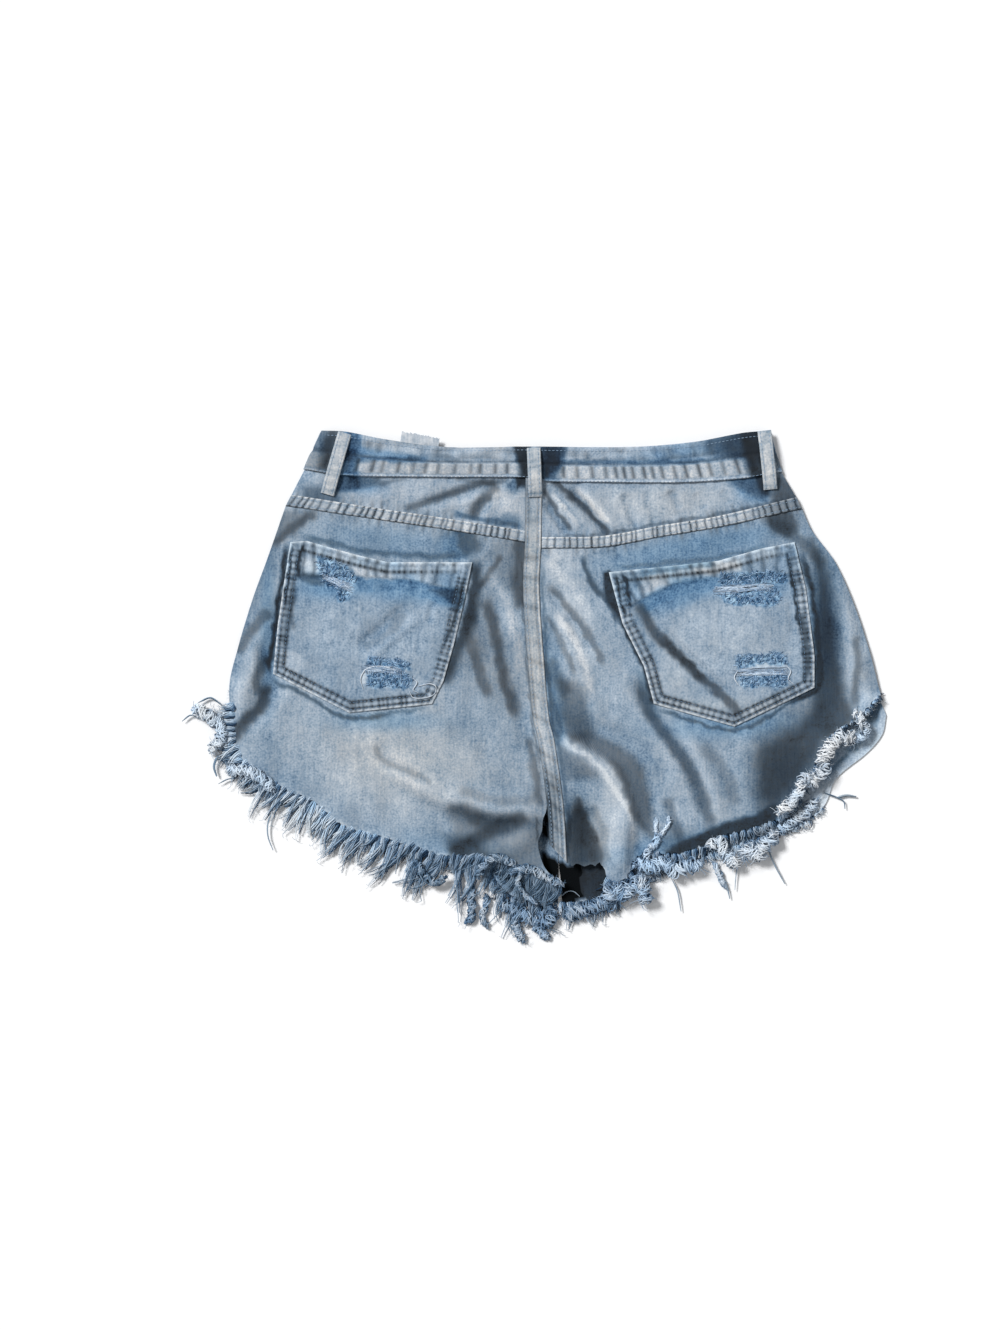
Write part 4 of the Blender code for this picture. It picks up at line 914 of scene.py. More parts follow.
LEG_PATCHES = (
    (0.25, 0.0, 0.0, 6, ((-6, -80), (10, -78), (36, -84), (38, -124), (8, -126), (-4, -96))),
    (0.34, 0.0, 0.0, 6, ((-34, 116), (-9, 116), (-8, 92), (-12, 72), (-32, 92))),
    (0.2, 0.0, 0.0, 8, ((-58, 92), (-36, 90), (-36, 20), (-60, 20))),
    (0.0, -0.1, 0.1, 6, ((10, 114), (36, 112), (32, 90), (12, 88))),
    (0.35, 0.1, 0.0, 8, ((206, 50), (222, 50), (222, 0), (214, -20), (204, -20), (210, 0))),
    (0.3, 0.1, 0.0, 8, ((-214, 114), (-203, 114), (-206, 60), (-228, 62))),
    (0.5, 0.0, 0.0, 6, ((-66, -96), (-40, -103), (-10, -102), (6, -104), (10, -125), (4, -146), (-30, -144),
                        (-62, -138))),
    (0.22, 0.0, 0.0, 12, ((-46, 56), (-14, 40), (-6, 0), (-22, -20), (-44, 6))),
    (0.05, 0.0, 0.0, 14, ((-70, 20), (-20, 10), (4, -40), (12, -90), (-50, -88), (-80, -70), (-84, -20))),
    (0.65, 0.4, 0.0, 4, ((-64, 130), (-46, 124), (-42, 112), (-52, 104), (-60, 112))),
    (0.55, 0.05, 0.0, 4, ((-66, -93), (-52, -92), (-38, -102), (-26, -106), (-36, -114), (-50, -109))),
    (0.6, 0.2, 0.0, 5, ((-72, -118), (-52, -120), (-38, -130), (-30, -138), (-44, -142), (-66, -138))),
    (0.45, 0.9, -0.1, 2, ((8, 34), (12, 22), (16, 0), (20, -18), (24, -36), (20, -42), (15, -34), (12, -10),
                          (9, 8))),
    (0.58, 0.0, 0.0, 6, ((20, 6), (34, 6), (42, -6), (44, -22), (48, -38), (30, -40), (22, -28), (20, -12))),
    (0.62, 0.05, 0.0, 4, ((28, -36), (46, -36), (62, -42), (76, -52), (86, -62), (90, -75), (93, -90),
                          (97, -106), (94, -120), (84, -110), (77, -96), (73, -84), (69, -72), (60, -61),
                          (44, -50), (30, -44))),
    (0.42, 0.0, 0.0, 4, ((20, -46), (30, -50), (44, -60), (50, -72), (36, -73), (26, -77), (22, -62))),
    (0.74, 0.0, 0.0, 2.5, ((33, -88), (38, -88), (44, -104), (51, -118), (55, -134), (56, -146), (22, -146),
                           (22, -112), (29, -102))),
    (0.66, 0.0, 0.0, 6, ((31, -92), (38, -92), (48, -112), (53, -132), (48, -140), (40, -130), (34, -116))),
    (0.7, 0.3, 0.0, 0.8, ((1.4, -102), (2.8, -102), (4.6, -122), (3, -123), (1.8, -114))),
    (0.86, 0.0, 0.0, 13, ((188, -38), (202, -30), (226, -18), (234, -36), (228, -60), (212, -80), (198, -96),
                         (186, -104), (177, -92), (175, -70), (177, -50))),
    (0.82, 0.1, 0.0, 8, ((222, 118), (230, 108), (236, 92), (240, 72), (243, 50), (246, 20), (252, -10),
                         (258, -24), (248, -36), (232, -42), (222, -20), (222, 10), (224, 50), (224, 85))),
    (0.93, 0.6, -0.1, 1.5, ((55, 92), (62, 93), (74, 52), (92, 18), (99, -12), (93, -14), (89, 10), (77, 34),
                            (67, 56), (56, 76))),
    (0.3, 0.6, 0.0, 3, ((82, 16), (92, 8), (97, -14), (102, -22), (94, -26), (86, -12))),
    (0.92, 0.9, -0.1, 2.5, ((104, -132), (118, -123), (132, -116), (146, -110), (162, -105), (178, -101),
                            (192, -92), (196, -104), (176, -118), (160, -122), (146, -126), (132, -134),
                            (116, -140))),
    (0.3, 0.1, 0.0, 5, ((102, -112), (130, -114), (136, -122), (110, -132), (100, -128))),
    (0.75, 0.0, -0.05, 4, ((182, 142), (202, 144), (212, 128), (200, 120), (188, 126))),
    (0.5, 0.0, 0.0, 5, ((-204, 142), (-176, 138), (-190, 124), (-210, 112))),
)


def ragged(x, y, seed):
    """Frays the last rows of a panel at its hem."""
    chance = np.random.default_rng(seed)
    jitter = chance.uniform(-1.6, 1.6, (2, x.shape[1]))
    x[-1] += jitter[0] * 0.5
    y[-1] += jitter[1]
    return x, y


def hem_wash(wash, x, y, hem):
    """Rubs a hem's edge white, with blue behind it."""
    away, _, _ = beside(x, y, smooth_line(hem, 60))
    wash[..., 0] += 0.3 * (0.4 + 0.6 * rumple(x, y, 6, 6, 48)) * bell(away, 0, 2.2)
    wash[..., 1] += 0.15 * bell(away, 0, 11)
    return wash


# The felled centre-back seam: a double strip that stands over both panels, rubbed pale.
STRIP_SPOTS = (
    (0, 100, 9, 40, 0, 0.04, 0.0, 0.5),
    (2, 20, 9, 60, 0, 0.06, 0.0, 0.5),
    # darker at the strip's lower end, with painted shade
    (14, -98, 12, 40, 0, -0.24, 0.0, 0.2, 0.3),
)
STRIP_WASH = (0.66, 0.0, 0.45)
STRIP_ACROSS = np.array([0.0, 0.05, 0.1, 0.17, 0.25, 0.34, 0.44, 0.54, 0.64, 0.74, 0.82, 0.88, 0.93, 0.97, 1.0])
STRIP_GRID = 1.4


def strip_profile(across, run, seed):
    """The height of a felled seam over the cloth: two rounded edges, two stitched grooves and a puckered middle."""
    edges = inside_ends(across, 0.05)
    grooves = bell(across, 0.17, 0.06) + bell(across, 0.83, 0.06)
    puckers = nips(run + 2 * across, 9.0, seed, 2.2)
    return 0.4 + 0.9 * edges - 0.4 * grooves - 0.15 * puckers * edges, puckers


# The rows of stitches, noted as each seam's cloth is made: the node whose cloth they are in, then their points
stitch_rows = []


def centre_strip(node, lines, rows, seed):
    """A stretch of the centre-back strip, from its left edge to its right one."""
    left, right = (curve(line, rows) for line in lines)
    x = left[:, None, 0] * (1 - STRIP_ACROSS) + right[:, None, 0] * STRIP_ACROSS
    y = left[:, None, 1] * (1 - STRIP_ACROSS) + right[:, None, 1] * STRIP_ACROSS
    across = STRIP_ACROSS + 0 * x
    run = lengths_of(left)[:, None] + 0 * x
    rise, puckers = strip_profile(across, run, seed)
    top = softened(back_form(x, y) + SEAM_LIFT + folds_at(x, y, LEG_CREASES) * 0.4, 3) + rise
    low = smooth((-10 - y) / 80)
    wash = spots_at(x, y, STRIP_SPOTS) + even_wash(x, *STRIP_WASH)
    # Its right edge is paler, partly rubbed and partly painted light; painted shade lies in its stitched grooves,
    # in its nips and along its left edge
    wash[..., 0] += 0.2 * bell(across, 0.97, 0.06) - 0.05 * puckers
    wash[..., 0] += 0.08 * rumple(across * 60, run, 9, 46, seed)
    wash[..., 0] += 0.2 * low * (bell(across, 0.36, 0.08) + bell(across, 0.64, 0.07))
    grooves = bell(across, 0.2, 0.07) + 0.8 * bell(across, 0.79, 0.06)
    grooves = grooves + 0.6 * low * bell(across, 0.5, 0.05)
    wash[..., 3] += (0.62 + 0.25 * low) * grooves * (0.7 + 0.3 * rumple(x, y, 6, 25, seed))
    wash[..., 3] += 0.35 * nips(run, 12.0, seed + 3, 2.5) + 0.12 * rumple(x, y, 5, 13, seed + 4)
    wash[..., 3] = np.clip(wash[..., 3] + 0.6 * bell(across, 0, 0.05), 0, 0.9)
    stitch_rows.extend((node, np.stack([x, y, top], axis=-1)[2:-2, column]) for column in (3, 10))
    return shell(x, y, top, SEAM_WALL, wash)


leg_denim = denim("leg_denim", (0.6, 0.83, 1.0, 1))
half_strip = SEAM_STRIP / 2
under_strip = half_strip - 1.0
left_top, right_top = moved(YOKE_SEAM_LEFT, 0, 1.5), moved(YOKE_SEAM_RIGHT, 0, 1.5)
left_edges = (
    left_top,
    BACK_HEM_LEFT,
    part_of(LEFT_SIDE, left_top[0][1], BACK_HEM_LEFT[0][1]),
    (left_top[-1], *moved(part_of(CENTRE_LINE, left_top[-1][1], -86), -under_strip, 0)[1:], *INNER_EDGE_LEFT),
)
right_edges = (
    right_top,
    BACK_HEM_RIGHT,
    (right_top[0], *moved(part_of(CENTRE_LINE, right_top[0][1], SEAM_STRIP_FOOT), under_strip, 0)[1:-1],
     BACK_HEM_RIGHT[0]),
    (right_top[-1], *part_of(RIGHT_SIDE, right_top[-1][1], -5)[1:-1], BACK_HEM_RIGHT[-1]),
)
strip_middle = part_of(CENTRE_LINE, SEAM_STRIP_TOP, SEAM_STRIP_FOOT)
strip_left = part_of(CENTRE_LINE, SEAM_STRIP_TOP, -125)
strip_edges = (moved(strip_left, -half_strip, 0), moved(strip_middle, half_strip, 0))
# The legs: node, edges, hem, rows of the grid, seed of the frayed edge, wash
leg_rows = (
    ("back_left", left_edges, BACK_HEM_LEFT, 164, 61, (0.6, 0.1, 0.1)),
    ("back_right", right_edges, BACK_HEM_RIGHT, 154, 62, (0.6, 0.12, 0.05)),
)
leg_pieces = {}
for name, edges, hem, rows, seed, leg_wash in leg_rows:
    x, y = patch(*edges, shares_of(hem, LEG_GRID), np.linspace(0, 1, rows))
    x, y = ragged(x, y, seed)
    top = softened(leg_top(x, y), 6)
    wash = hem_wash(wash_of(x, y, top, LEG_SPOTS, leg_wash), x, y, hem)
    wash = shaded(x, y, wash, LEG_SHADES, LEG_PATCHES)
    shells = [shell(x, y, top, LEG_WALL, wash)]
    if name == "back_right":
        shells.append(centre_strip(name, strip_edges, shares_of(strip_middle, STRIP_GRID), 31))
    leg_pieces[name] = cloth_piece(name + "_cloth", shells, leg_denim)
    stands_for(leg_pieces[name], name)

# ---------------------------------------------------------------------------------------------
# The patch pockets are five-sided pieces laid on the seat, with a turned hem along the top and a
# double-stitched edge. Each is worn through in two places, where white weft threads still cross.
POCKET_LIFT = 1.55
POCKET_WALL = 0.9
POCKET_GRID = 1.15
POCKET_WASH = (0.58, 0.15, 0.05)
# Each pocket's edges: top, bottom, left and right
POCKET_LINES = {
    "pocket_left": (
        ((-194, 116), (-181, 117), (-160, 111), (-138, 105), (-116, 100), (-88, 100), (-49, 100)),
        ((-208, 11), (-147, -20), (-81, -13)),
        ((-194, 116), (-204, 50), (-208, 11)),
        ((-49, 100), (-55, 71), (-64, 33), (-72, 5), (-81, -13)),
    ),
    "pocket_right": (
        ((60, 92), (100, 96), (147, 101), (182, 111), (208, 116)),
        ((96, -13), (160, -31), (206, -9), (224, 0)),
        ((60, 92), (71, 51), (88, 17), (96, -13)),
        ((208, 116), (213, 95), (217, 79), (224, 26), (224, 0)),
    ),
}
# The lower edge of each pocket's turned hem, and what its cloth was cut to: width and height, then area
POCKET_HEMS = {
    "pocket_left": ((-204, 90), (-184, 89), (-138, 89), (-99, 86), (-52, 76)),
    "pocket_right": ((62, 60), (81, 68), (112, 83), (144, 88), (199, 91), (216, 92)),
}
POCKET_CUTS = {"pocket_left": ((0.16, 0.138), 0.0168), "pocket_right": ((0.165, 0.148), 0.0172)}
# Creases, worn places, strokes and patches of shade, as on the legs
POCKET_CREASES = (
    (-1.2, 11, 9, ((82, 74), (91, 60), (103, 41), (126, 18), (160, -16))),
    (0.7, 9, 9, ((98, 74), (108, 54), (128, 32), (164, -4))),
    (-1.3, 7, 7, ((-98, 68), (-118, 50), (-142, 30))),
    (0.8, 7, 7, ((-88, 60), (-110, 42), (-132, 22))),
    (-0.8, 4, 4, ((-80, 70), (-84, 50))),
    (-0.9, 4, 4, ((204, 70), (207, 40))),
    (-1.0, 3, 3, ((-198, 96), (-176, 88), (-150, 90))),
)
POCKET_SPOTS = (
    (-110, 76, 46, 10, -8, -0.06, 0.6, 0.0),
    (-68, 72, 12, 9, -12, -0.16, 0.8, 0.0),
    (-165, 80, 30, 12, 0, -0.04, 0.7, 0.0),
    (120, 72, 36, 9, 20, -0.06, 0.6, 0.0),
    (175, 80, 32, 12, 2, -0.05, 0.8, 0.0),
    (150, 40, 44, 34, 0, 0.08, 0.0, 0.1),
    (120, 92, 60, 9, 6, 0.08, 0.0, 0.5),
    (112, 4, 18, 18, 30, 0.12, 0.0, 0.25),
    (150, -14, 50, 8, 0, 0.1, 0.0, 0.4),
)
POCKET_SHADES = (
    (0.95, 0.3, -0.2, 2, 2, ((66, 91), (68, 78), (71, 64), (74, 56))),
    (0.95, 0.3, -0.2, 2, 2, ((72, 92), (75, 78), (78, 62))),
    (0.95, 0.3, -0.2, 2, 2, ((-192, 115), (-194, 100), (-197, 78), (-198, 62))),
    (0.95, 0.3, -0.2, 2.2, 2.2, ((-184, 116), (-187, 100), (-188, 86))),
    (0.9, 0.2, -0.15, 2, 2, ((200, 111), (205, 92), (209, 70), (212, 44))),
    (0.8, 0.3, -0.1, 2, 2, ((-56, 90), (-59, 72), (-66, 48), (-71, 30))),
    (0.7, 0.3, -0.1, 4, 4, ((213, 62), (217, 34), (217, 2))),
    (0.4, 0.2, -0.05, 5, 5, ((-188, 84), (-196, 58), (-200, 30))),
    (0.28, 0.0, 0.0, 6, 6, ((-100, 62), (-112, 48), (-121, 40), (-138, 30))),
    (0.45, 0.0, 0.0, 3, 3, ((-191, 92), (-193, 68), (-192, 44))),
    (0.72, 0.0, 0.0, 5, 9, ((80, 72), (91, 55), (101, 41), (114, 28), (128, 14), (140, 3))),
    (0.72, 0.0, 0.0, 5, 7, ((100, 43), (114, 28), (128, 14), (143, 1), (158, -13), (170, -24))),
)
POCKET_PATCHES = (
    (0.0, 0.8, -0.1, 2.5, ((-140, 87), (-118, 86), (-98, 85), (-78, 80), (-56, 74), (-57, 64), (-74, 68),
                           (-92, 74), (-116, 78), (-138, 78))),
    (0.5, 0.6, -0.05, 2.5, ((-84, 79), (-55, 76), (-56, 64), (-70, 70))),
    (0.6, 0.3, 0.0, 2, ((-188, 90), (-168, 89), (-166, 82), (-186, 84))),
    (0.0, 0.8, -0.08, 3, ((83, 68), (100, 79), (120, 85), (146, 88), (147, 80), (124, 76), (104, 70),
                          (88, 60))),
    (0.2, 0.5, -0.04, 2, ((84, 94), (100, 97), (120, 99), (142, 101), (142, 96), (118, 94), (100, 91),
                          (86, 89))),
    (0.0, 0.0, 0.2, 3, ((-184, 102), (-172, 102), (-171, 92), (-182, 91))),
    (0.0, 0.0, 0.16, 2, ((-198, 27), (-187, 27), (-184, 17), (-192, 11), (-200, 15))),
    (0.0, -0.3, 0.14, 3, ((-146, 97), (-116, 92), (-112, 84), (-140, 88))),
    (0.0, -0.3, 0.12, 3, ((84, 86), (104, 88), (108, 80), (88, 74))),
    (0.0, -0.3, 0.14, 3, ((124, 98), (160, 101), (164, 93), (128, 91))),
    (0.0, 0.0, 0.4, 2.0, ((-156, 88), (-142, 86), (-143, 76), (-152, 74))),
    (0.0, 0.1, 0.3, 2, ((-137, 1), (-137, 10), (-131, 16), (-120, 17), (-107, 13), (-110, 10), (-122, 12),
                        (-130, 11), (-133, 2))),
    (0.0, 0.1, 0.25, 2, ((148, 77), (166, 82), (186, 83), (186, 79), (166, 75), (150, 73))),
    (0.0, 0.1, 0.25, 2, ((163, 14), (172, 18), (186, 19), (201, 17), (197, 12), (180, 10), (165, 9))),
)
# Where the cloth round each worn place is cut to blue and pale ends
FRAYS = (
    ("pocket_left", ((-173, 104), (-158, 100), (-145, 93), (-142, 84), (-152, 80), (-166, 80), (-171, 92))),
    ("pocket_left", ((-157, 80), (-149, 77), (-148, 70), (-155, 68))),
    ("pocket_left", ((-133, 11), (-104, 12), (-96, 6), (-101, -1), (-116, 0), (-131, 0))),
    ("pocket_left", ((-132, 24), (-118, 22), (-102, 21), (-97, 14), (-112, 16), (-132, 18))),
    ("pocket_right", ((148, 90), (166, 91), (198, 92), (201, 84), (184, 83), (150, 81))),
    ("pocket_right", ((147, 74), (158, 75), (180, 79), (196, 76), (193, 65), (176, 66), (158, 66))),
    ("pocket_right", ((162, 25), (180, 26), (198, 27), (203, 18), (184, 19), (163, 15))),
    ("pocket_right", ((163, 9), (180, 9), (198, 13), (203, 6), (199, 0), (182, 1), (167, 0))),
)
# Worn-through places: pocket, centre x, centre y, half length, half height, turn in degrees, white threads left
RIPS = (
    ("pocket_left", -156.0, 84.0, 10.0, 3.4, -24.0, 24),
    ("pocket_left", -121.0, 14.0, 13.0, 2.4, -5.0, 22),
    ("pocket_right", 167.0, 79.0, 21.0, 3.2, 3.0, 24),
    ("pocket_right", 181.0, 13.0, 18.0, 3.2, 2.0, 24),
)
# Sewing that has come loose: the pocket, radius, tone, then the path
LOOSE_STITCHES = (
    ("pocket_left", 0.55, 0.9, ((-99, -3), (-96, -8), (-86, -8), (-79, -5), (-78, 1), (-83, 3), (-92, 1))),
    ("pocket_left", 0.6, 0.95, ((-136, -1), (-138, 7), (-133, 15), (-121, 17), (-108, 13))),
    ("pocket_left", 0.6, 0.85, ((-97, 8), (-93, 4), (-96, -2), (-92, -4))),
    ("pocket_right", 0.5, 0.9, ((163, 14), (160, 8), (163, 2))),
    ("pocket_right", 0.5, 0.9, ((201, 18), (205, 13), (203, 7), (207, 3))),
)


def rip_places(x, y, centre_x, centre_y, half_length, half_height, turn):
    """1 on the rim of a worn place, less inside it and more outside."""
    angle = math.radians(turn)
    along = (x - centre_x) * math.cos(angle) + (y - centre_y) * math.sin(angle)
    over = (y - centre_y) * math.cos(angle) - (x - centre_x) * math.sin(angle)
    return np.hypot(along / half_length, over / half_height)


def outline_of(lines):
    """The closed outline of a pocket, anticlockwise from its top left corner down its left side."""
    top, bottom, left, right = lines
    return [*left, *bottom[1:], *right[::-1][1:], *top[::-1][1:]]


def pocket_form(name, x, y):
    """A pocket's upper face, its puckers, and how far each place is from its edge."""
    edge_away, _, run = beside(x, y, outline_of(POCKET_LINES[name]))
    top_away, _, _ = beside(x, y, POCKET_LINES[name][0])
    hem_away, hem_side, hem_run = beside(x, y, POCKET_HEMS[name])
    in_hem = smooth(0.5 + hem_side * hem_away / 1.6)
    at_edge = smooth(0.5 + (8.6 - edge_away) / 1.8) * smooth((top_away - 2) / 3)
    form = back_form(x, y) + LEG_LIFT + POCKET_LIFT + folds_at(x, y, POCKET_CREASES)
    puckers = nips(run, 5.2, 71, 1.1) * smooth((13 - edge_away) / 6) * smooth((top_away - 8) / 6)
    hem_puckers = nips(hem_run + 1.5 * rumple(x, y, 8, 8, 4), 11.0, 72, 2.0, 0.4) * in_hem
    form += 0.75 * in_hem + 0.5 * at_edge - 0.6 * puckers - 0.55 * hem_puckers
    grooves = bell(edge_away, 2.2, 0.7) + bell(edge_away, 7.6, 0.7)
    form -= 0.3 * grooves * smooth((top_away - 2) / 3)
    form += 0.25 * rumple(x, y, 12, 16, 8) + 0.12 * rumple(x, y, 4, 6, 9) + 0.06 * rumple(x, y, 2, 3, 10)
    form -= 0.7 * (1 - smooth(edge_away / 1.1))
    return form, puckers, hem_puckers, edge_away, hem_side * hem_away


def pocket_wash(name, x, y, form, puckers, hem_puckers, edge_away, over_hem):
    """A pocket's wash: pale at its edge; painted shade in the rows of sewing, between its puckers, in nicks along
    its top and just under its hem; blue in its hem.
    """
    lines = POCKET_LINES[name]
    _, _, run = beside(x, y, outline_of(lines))
    in_sides = smooth((beside(x, y, lines[0])[0] - 2) / 3)
    wash = wash_of(x, y, form, POCKET_SPOTS, POCKET_WASH)
    wash = shaded(x, y, wash, POCKET_SHADES, POCKET_PATCHES)
    wash[..., 0] += 0.42 * bell(edge_away, 0, 1.0) - 0.1 * puckers - 0.12 * hem_puckers
    wash[..., 0] += 0.1 * smooth((9 - edge_away) / 3)
    # Painted shade in the two stitched rows, across the band between them, between the puckers and in nicks along
    # the top
    rows = bell(edge_away, 2.9, 1.0) + bell(edge_away, 8.0, 1.4)
    dashes = 0.4 + 0.7 * nips(run, 4.4, 74, 1.2, 0.5) + 0.3 * rumple(run, 0 * run, 30, 1, 75)
    ladder = nips(run, 4.4, 74, 0.9, 0.3) * smooth((9.5 - edge_away) / 2) * smooth((edge_away - 1.2) / 1.5)
    shade = np.clip(rows * dashes * (0.85 + 0.3 * smooth((70 - y) / 50)) + 0.45 * ladder, 0, 0.94) * in_sides
    nick_shade = nips(run, 8.0, 76, 1.6) * bell(edge_away, 2.4, 1.8) * (1 - in_sides)
    shade = 1 - (1 - shade) * (1 - 0.55 * puckers) * (1 - 0.6 * hem_puckers) * (1 - 0.7 * nick_shade)
    wash[..., 3] = 1 - (1 - wash[..., 3]) * (1 - shade)
    wash[..., 1] += 0.35 * smooth(over_hem / 2) * (0.6 + 0.8 * rumple(x, y, 14, 11, 77))
    wash[..., 0] += 0.1 * smooth(over_hem / 2) * (0.6 + rumple(x, y, 9, 11, 78))
    # A dark line just under the hem's edge is painted shade
    wash[..., 0] -= 0.14 * bell(over_hem, -1.6, 1.3)
    return wash


def worn_through(name, x, y):
    """Which faces of a pocket's grid are left round its worn places."""
    middle_x = (x[1:, 1:] + x[:-1, :-1]) / 2
    middle_y = (y[1:, 1:] + y[:-1, :-1]) / 2
    keep = np.ones(middle_x.shape, bool)
    for of_pocket, *rip, _ in RIPS:
        if of_pocket == name:
            ring = rip_places(middle_x, middle_y, *rip)
            keep &= ring + 0.22 * rumple(middle_x, middle_y, 2.2, 2.2, 91) > 0.9
    return keep


pocket_denim = denim("pocket_denim", (0.5, 0.78, 1.0, 1))
pocket_pieces = {}
for name, lines in POCKET_LINES.items():
    x, y = patch(*lines, shares_of(lines[1], POCKET_GRID), np.linspace(0, 1, 112), follow=straight)
    form, *seams = pocket_form(name, x, y)
    wash = pocket_wash(name, x, y, form, *seams)
    for of_pocket, outline in FRAYS:
        if of_pocket == name:
            torn = patch_share(x + 1.5 * rumple(x, y, 2, 2, 94), y + 1.5 * rumple(x, y, 2, 2, 95), 1.5, outline)
            wash[..., 1] += 0.7 * torn
            wash[..., 0] += torn * (0.5 * rumple(x, y, 1.3, 1.9, 92) - 0.04)
            form += 0.45 * torn * rumple(x, y, 1.6, 2.2, 93)
    shells = [shell(x, y, form, POCKET_WALL, wash, worn_through(name, x, y))]
    pocket_pieces[name] = cloth_piece(name + "_cloth", shells, pocket_denim)
    stands_for(pocket_pieces[name], name)


def new_tree(name, inputs):
    """An empty node tree with named inputs, and the sockets that give them."""
    tree = bpy.data.node_groups.new(name, "GeometryNodeTree")
    for socket, kind in inputs.items():
        tree.interface.new_socket(socket, in_out="INPUT", socket_type="NodeSocket" + kind)
    tree.interface.new_socket("Made", in_out="OUTPUT", socket_type="NodeSocketGeometry")
    return tree, tree.nodes.new("NodeGroupInput").outputs


def close_tree(tree, made, finish):
    """Ends a node tree: what it made is realised as one mesh of one material."""
    whole = add_node(tree, "GeometryNodeRealizeInstances", {"Geometry": made})
    finished = add_node(tree, "GeometryNodeSetMaterial", {"Geometry": whole.outputs[0], "Material": finish})
    tree.links.new(finished.outputs[0], tree.nodes.new("NodeGroupOutput").inputs["Made"])
    return tree


def spun_tree():
    """A node tree that spins lines into round threads, as thick as each point's own radius."""
    tree, given = new_tree("spun_threads", {"Lines": "Geometry", "Sides": "Int", "Finish": "Material"})
    lines = add_node(tree, "GeometryNodeMeshToCurve", {"Mesh": given["Lines"]})
    radius = add_node(tree, "GeometryNodeInputNamedAttribute", {"Name": "thread_radius"}, data_type="FLOAT")
    ring = add_node(tree, "GeometryNodeCurvePrimitiveCircle", {"Resolution": given["Sides"], "Radius": 1.0})
    tube = add_node(tree, "GeometryNodeCurveToMesh", {"Curve": lines.outputs[0], "Profile Curve": ring.outputs[0],
                                                      "Scale": radius.outputs[0], "Fill Caps": True})
    return close_tree(tree, tube.outputs[0], given["Finish"])


def evaluated_piece(name, holder, tree, sizes):
    """Runs a node tree on an object, with its sizes given by name, and keeps the result as one plain mesh."""
    modifier = holder.modifiers.new("nodes", "NODES")
    modifier.node_group = tree
    sockets = {item.name: item.identifier for item in tree.interface.items_tree if item.in_out == "INPUT"}
    for size, value in sizes.items():
        modifier[sockets[size]] = value
    depsgraph = bpy.context.evaluated_depsgraph_get()
    mesh = bpy.data.meshes.new_from_object(holder.evaluated_get(depsgraph), depsgraph=depsgraph)
    mesh.name = name
    mesh.shade_smooth()
    bpy.data.objects.remove(holder)
    piece = bpy.data.objects.new(name, mesh)
    scene.collection.objects.link(piece)
    return piece


def lines_object(name, lines):
    """An object of open lines. Each line has its points, the radius of its thread and its wash, point by point."""
    points, radii, wash = (np.concatenate(part) for part in zip(*lines))
    last = np.cumsum([len(line[0]) for line in lines]) - 1
    starts = np.delete(np.arange(len(points)), last)
    mesh = bpy.data.meshes.new(name + "_lines")
    mesh.from_pydata((points * MM).tolist(), np.stack([starts, starts + 1], axis=1).tolist(), [])
    radius = mesh.attributes.new("thread_radius", "FLOAT", "POINT")
    radius.data.foreach_set("value", (radii * MM).astype(np.float32))
    colours = mesh.attributes.new("wash", "FLOAT_COLOR", "POINT")
    colours.data.foreach_set("color", np.column_stack([wash, np.ones(len(wash))]).astype(np.float32).reshape(-1))
    holder = bpy.data.objects.new(name + "_lines", mesh)
    scene.collection.objects.link(holder)
    return holder


def cotton(name, indigo):
    """Loose cotton yarn: its wash runs from dark blue to white, with a fine twist and a soft matt surface."""
    made, tree, shader, _, even, parts = washed_material(name, 0.1)
    mottle = noise(tree, even, 0.25, 3.0)
    twist = noise(tree, even, 1.4, 2.0)
    washed = wash_ramp(tree, summed(tree, parts[0], ((mottle, 0.4), (twist, 0.3))))
    blue = mixed(tree, 1.0, washed, indigo, blend="MULTIPLY")
    colour = mixed(tree, parts[1], washed, blue)
    warmed = mixed(tree, 1.0, colour, WARM_TINT, blend="MULTIPLY")
    tree.links.new(mixed(tree, parts[2], colour, warmed), shader.inputs["Base Color"])
    surfaced(tree, shader, twist, 0.4, 0.0003, twist, 0.86, 1.0)
    return made


THREAD_SIDES = 3
yarn = cotton("frayed_yarn", (0.5, 0.75, 1.0, 1))
threads_tree = spun_tree()


def spun_piece(name, lines):
    """One piece of threads, spun along lines."""
    return evaluated_piece(name, lines_object(name, lines), threads_tree, {"Sides": THREAD_SIDES, "Finish": yarn})


def thread(points, radius, fade, indigo=0.0, warm=0.0):
    """A line for one thread that thins at both ends, in one wash."""
    share = np.linspace(0, 1, len(points))
    taper = (0.4 + 0.6 * smooth(share * 4)) * (1 - 0.5 * share ** 3)
    return np.array(points), radius * taper, np.tile((fade, indigo, warm), (len(points), 1))


def curl(start, heading, bend, reach, count=5):
    """x and y of a line that starts in a heading and bends as it goes, both in degrees."""
    turn = np.radians(heading + bend * np.linspace(0, 1, count))[1:]
    step = reach / (count - 1)
    return (start[0] + np.concatenate([[0], np.cumsum(np.cos(turn))]) * step,
            start[1] + np.concatenate([[0], np.cumsum(np.sin(turn))]) * step)


